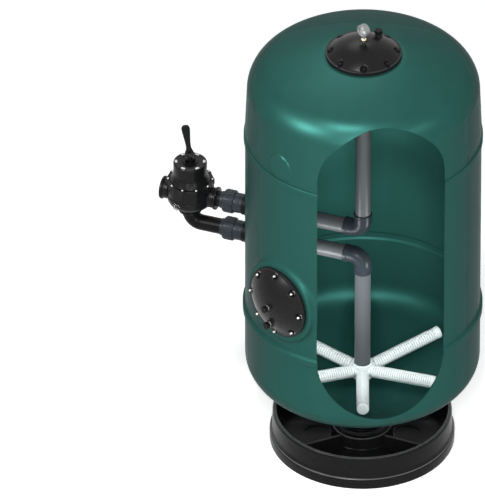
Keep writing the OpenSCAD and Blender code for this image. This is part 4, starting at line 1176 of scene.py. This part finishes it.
def makeValve():
    edge = eared(.0915, valve["flange"])
    body = soften([(0, -.045, 0), (.064, -.045, .008), (.082, -.038, .010), (.089, -.024, .012), (.092, -.008, .012),
        (.0908, .044, .002)], steps=5)
    rows = body + [(inset(edge, .0012), .048), (edge, .0492), (edge, .0562), (inset(edge, .0008), .057), (.080, .057),
        (.080, .042), (0, .042)]
    mesh = toMesh("valveBody", turned(rows, 180))
    tube, lip, reach = valve["port"], valve["lip"], valve["portReach"]
    port = soften([(0, .030, 0), (tube, .030, 0), (tube, .104, .003), (lip, .107, .002), (lip, reach, .0025),
        (0, reach, 0)], steps=4)
    drop = soften([(0, -.035, 0), (tube, -.035, 0), (tube, -.070, .002), (lip, -.072, .0015), (lip, -.080, .002),
        (0, -.080, 0)], steps=4)
    hole = turned([(0, .044), (.022, .044), (.022, .086), (.03155, .086), (.03155, .13), (0, .13)], 64)
    side = [axisFrame(a, 0) for a in (180, 0, -90)]
    mesh = merged(mesh, joined(*[moved(turned(port, 80), m) for m in side]))
    mesh = merged(mesh, turned(drop, 80))
    mesh = bevelled(mesh, .0032, 3, 42)
    lower = turned([(0, -.020), (.020, -.020), (.020, -.050), (.03155, -.050), (.03155, -.09), (0, -.09)], 64)
    glass = axisFrame(75, -.014)
    eye = rod(.00905, .068, .12, 40)
    mesh = carved(mesh, joined(moved(eye, glass), *[moved(hole, m) for m in side]))
    mesh = carved(mesh, lower)
    post = repeated(turned(softBlock(lambda a: .0062, .024, .0485, .005, .0002, 4), 24), valve["screws"],
        valve["screwRing"], "valveBlack", start=valve["firstScrew"])
    ridge = ringed([(.0905, -.0035, 0), (.0936, -.0025, .0008), (.0936, .0025, .0008), (.0905, .0035, 0)], 120,
        steps=2)
    addPiece("valveBody", [(mesh, valveFrame), (post, valveFrame), (ridge, valveFrame)], "valveBlack", "valve_black",
        "valve_body", sharp=40)

    outer = [(.0762, .0572), (inset(edge, .0008), .0572), (edge, .0580), (edge, .0648), (inset(edge, .0012), .066)]
    bell = soften([(.0835, .066, 0), (.080, .0662, .003), (.0685, .090, .010), (valve["bell"], .099, .008),
        (valve["bell"], .1465, .0035), (.0632, valve["bellTop"], .002), (.032, valve["bellTop"], .0006),
        (.031, .1494, .0003), (.0130, .1494, .0003), (.01205, .1485, 0), (.01205, .142, 0), (.054, .142, .003),
        (.058, .136, .003), (.058, .098, .006), (.072, .065, .003), (.0762, .0572, 0)], steps=4)
    groove = ringed([(.0645, .1392, 0), (.06645, .1396, .0004), (.06645, .1424, .0004), (.0645, .1428, 0)], 120,
        steps=2)
    lid = turned(outer + bell[:-1], 180, closed=True)
    addPiece("valveCover", [(lid, valveFrame), (groove, valveFrame)], "valveBlack", "valve_black", "valve_cover",
        sharp=40)

    head = soften([(0, .040, 0), (.0025, .040, 0), (.0025, .0662, 0), (.0046, .0662, .0006), (.0046, .0688, .0022),
        (.0018, .070, .001), (0, .070, 0)], steps=3)
    screw = toMesh("screw", turned(head, 28))
    arm, slim = .0024, .0005
    quarter = [(arm, -slim), (arm, slim), (slim, slim)]
    cross = [(x * math.cos(a) - y * math.sin(a), x * math.sin(a) + y * math.cos(a)) for a in (0, math.pi / 2, math.pi,
        math.pi * 1.5) for x, y in quarter]
    screw = carved(screw, prism(cross, .0684, .072))
    unit = ([tuple(v.co) for v in screw.vertices], [list(f.vertices) for f in screw.polygons])
    screws = repeated(unit, valve["screws"], valve["screwRing"], "studSteel", start=valve["firstScrew"], spin=80,
        seed=4)
    addPiece("valveScrews", [(screws, valveFrame)], "studSteel", "stud_steel", "valve_cover_screws", sharp=35)
    plate = []
    for middleX, middleY, first in ((.0038, .0068, 0), (-.0038, .0068, 90), (-.0038, -.0068, 180),
            (.0038, -.0068, 270)):
        for step in (0, 30, 60, 90):
            x, y = polar(.0012, first + step)
            plate.append((middleX + x, middleY + y))
    pads = repeated(prism(plate, valve["bellTop"], valve["bellTop"] + .0008), 6, .055, "padWhite", start=20)
    addPiece("positionPads", [(pads, valveFrame)], "padWhite", "pad_white", "position_pads", sharp=35)


def makeHandle():
    spot = valveFrame @ upright(0, 0, .1676, -62)
    sections = [(.004, .0190, .0080), (.018, .0188, .0080), (.027, .0168, .0080), (.037, .0130, .0078),
        (.046, .0106, .0076), (.056, .0099, .0075), (.068, .0102, .0075), (.085, .0118, .0076), (.103, .0138, .0078),
        (.121, .0158, .0080), (.136, .0169, .0080), (.143, .0163, .0079), (.149, .0138, .0076), (.153, .0098, .0066),
        (.1545, .0062, .0050), (.155, .0022, .0024)]
    count, verts, faces = 40, [(.004, 0, 0)], []
    for x, wide, thick in sections:
        for a in evenAngles(count):
            c, s = math.cos(a), math.sin(a)
            verts.append((x, wide * math.copysign(abs(c) ** .55, c), thick * math.copysign(abs(s) ** .55, s)))
    verts.append((.155, 0, 0))
    for i in range(count):
        j = (i + 1) % count
        faces.append([0, 1 + j, 1 + i])
        for k in range(len(sections) - 1):
            a, b = 1 + k * count, 1 + (k + 1) * count
            faces.append([a + i, a + j, b + j, b + i])
        faces.append([1 + (len(sections) - 1) * count + i, 1 + (len(sections) - 1) * count + j, len(verts) - 1])
    arm = toMesh("arm", moved((verts, faces), turnBy(-20, "Y")))
    sideways = turnBy(90, "X")
    hub = toMesh("valveHandle", moved(turned(softBlock(lambda a: .014, -.020, .020, .0018, .0018, 4), 56), sideways))
    mesh = merged(hub, arm)
    gap = bar(-.03, .022, .0063, -.03, .03)
    pin = moved(rod(.00405, -.03, .03, 32), sideways)
    mesh = carved(carved(mesh, gap), pin)
    mesh = bevelled(mesh, .0007, 2, 45)
    mesh.transform(spot)
    addPiece("valveHandle", mesh, "valveBlack", "valve_black", "valve_handle", body="handle", sharp=40)


makeValve()
makeHandle()
print("valve built")


# gauge and drain
gauge = {"stem": .050}
drain = {"out": .197, "tilt": 49}


def makeGauge():
    stemTop = place["seat"] + cover["bossTop"] + gauge["stem"]
    spot = axisFrame(place["coverTurn"], stemTop)
    case = soften([(0, -.013, 0), (.024, -.013, .0035), (.024, .0076, .0004), (.0255, .008, .0006),
        (.0255, .0125, .0016), (.0205, .0125, .0008), (.020, .0109, 0), (.0215, .0109, 0), (.0215, -.005, 0),
        (.0016, -.005, 0), (.0016, -.010, 0), (0, -.010, 0)], steps=4)
    mesh = toMesh("gaugeCase", turned(case, 88))
    mesh.transform(spot)
    stemHole = rod(.00605, -.0245, -.0215, 32)
    mesh = carved(mesh, moved(stemHole, upright(0, 0, stemTop)))
    addPiece("gaugeCase", mesh, "gaugeEnamel", "gauge_case", "gauge_case")
    fine = repeated(bar(-.0014, .0014, .00012, -.0040, -.0039), 50, .0182, "inkBlack", start=-225, sweep=270)
    bold = repeated(bar(-.0024, .0024, .00028, -.0040, -.0039), 11, .0172, "inkBlack", start=-225, sweep=297)
    addPiece("gaugeTicks", [(fine, spot), (bold, spot)], "inkBlack", "dial_white", sharp=35)
    needle = prism([(-.0060, -.0016), (.0010, -.0012), (.0170, -.00035), (.0180, 0), (.0170, .00035), (.0010, .0012),
        (-.0060, .0016)], -.0032, -.0024)
    boss = turned(softBlock(lambda a: .0030, -.0034, -.0018, .0002, .0006, 3), 32)
    pin = rod(.0015, -.009, -.003, 20)
    parts = [(needle, spot @ upright(0, 0, 0, -45)), (boss, spot), (pin, spot)]
    addPiece("gaugePointer", parts, "inkBlack", "pointer_black", "gauge_pointer", body="needle")
    rows = [(0, -.014), (.008, -.014), (.008, 0)] + hexRows(.019, .0002,
        .009) + soften([(.0075, .009, 0), (.006, .012, .001), (.006, .0282, 0)]) + [(0, .0282)]
    addPiece("gaugeStem", [(turned(rows, 48), topFrame @ upright(0, 0, cover["bossTop"]))], "brassPale",
        "gauge_brass", "gauge_stem", sharp=30)


def makeDrain():
    _, centre = dishCentre(place["tankRadius"], shell["dishKnuckle"], shell["crown"], shell["dishLine"], -1)
    height = centre - math.sqrt(shell["crown"] ** 2 - drain["out"] ** 2)
    spot = axisFrame(place["coverTurn"], height, drain["out"], 90 + drain["tilt"])
    rows = [(0, .078), (.0125, .078), (.014, .0765), (.014, .034)] + hexRows(.036, .0221,
        .034)[::-1] + [(.010, .0221), (.010, -.018), (0, -.018)]
    addPiece("drainBody", [(turned(rows, 96), spot)], "knobBlack", "knob_black", "drain_body", sharp=30)

    def grip(a):
        return .0188 + .0018 * max(0, math.cos(12 * a)) ** .7

    rows = ([(.01405, .0347), (.0178, .0347), (.0188, .0357), (.0188, .038)] + [(inset(grip, .0008), .0385),
        (grip, .040), (grip, .078), (inset(grip, .0009), .0795)]
        + soften([(.0188, .080, 0), (.0188, .084, .0022), (.012, .084, .001), (.010, .0832, .0008), (0, .0832, 0)],
        steps=4) + [(0, .0785), (.01405, .0785)])
    addPiece("drainCap", [(turned(rows, 144, closed=True), spot)], "knobBlack", "knob_black", "drain_cap",
        body="drain_knob", sharp=35)


makeGauge()
makeDrain()
print("gauge and drain built")
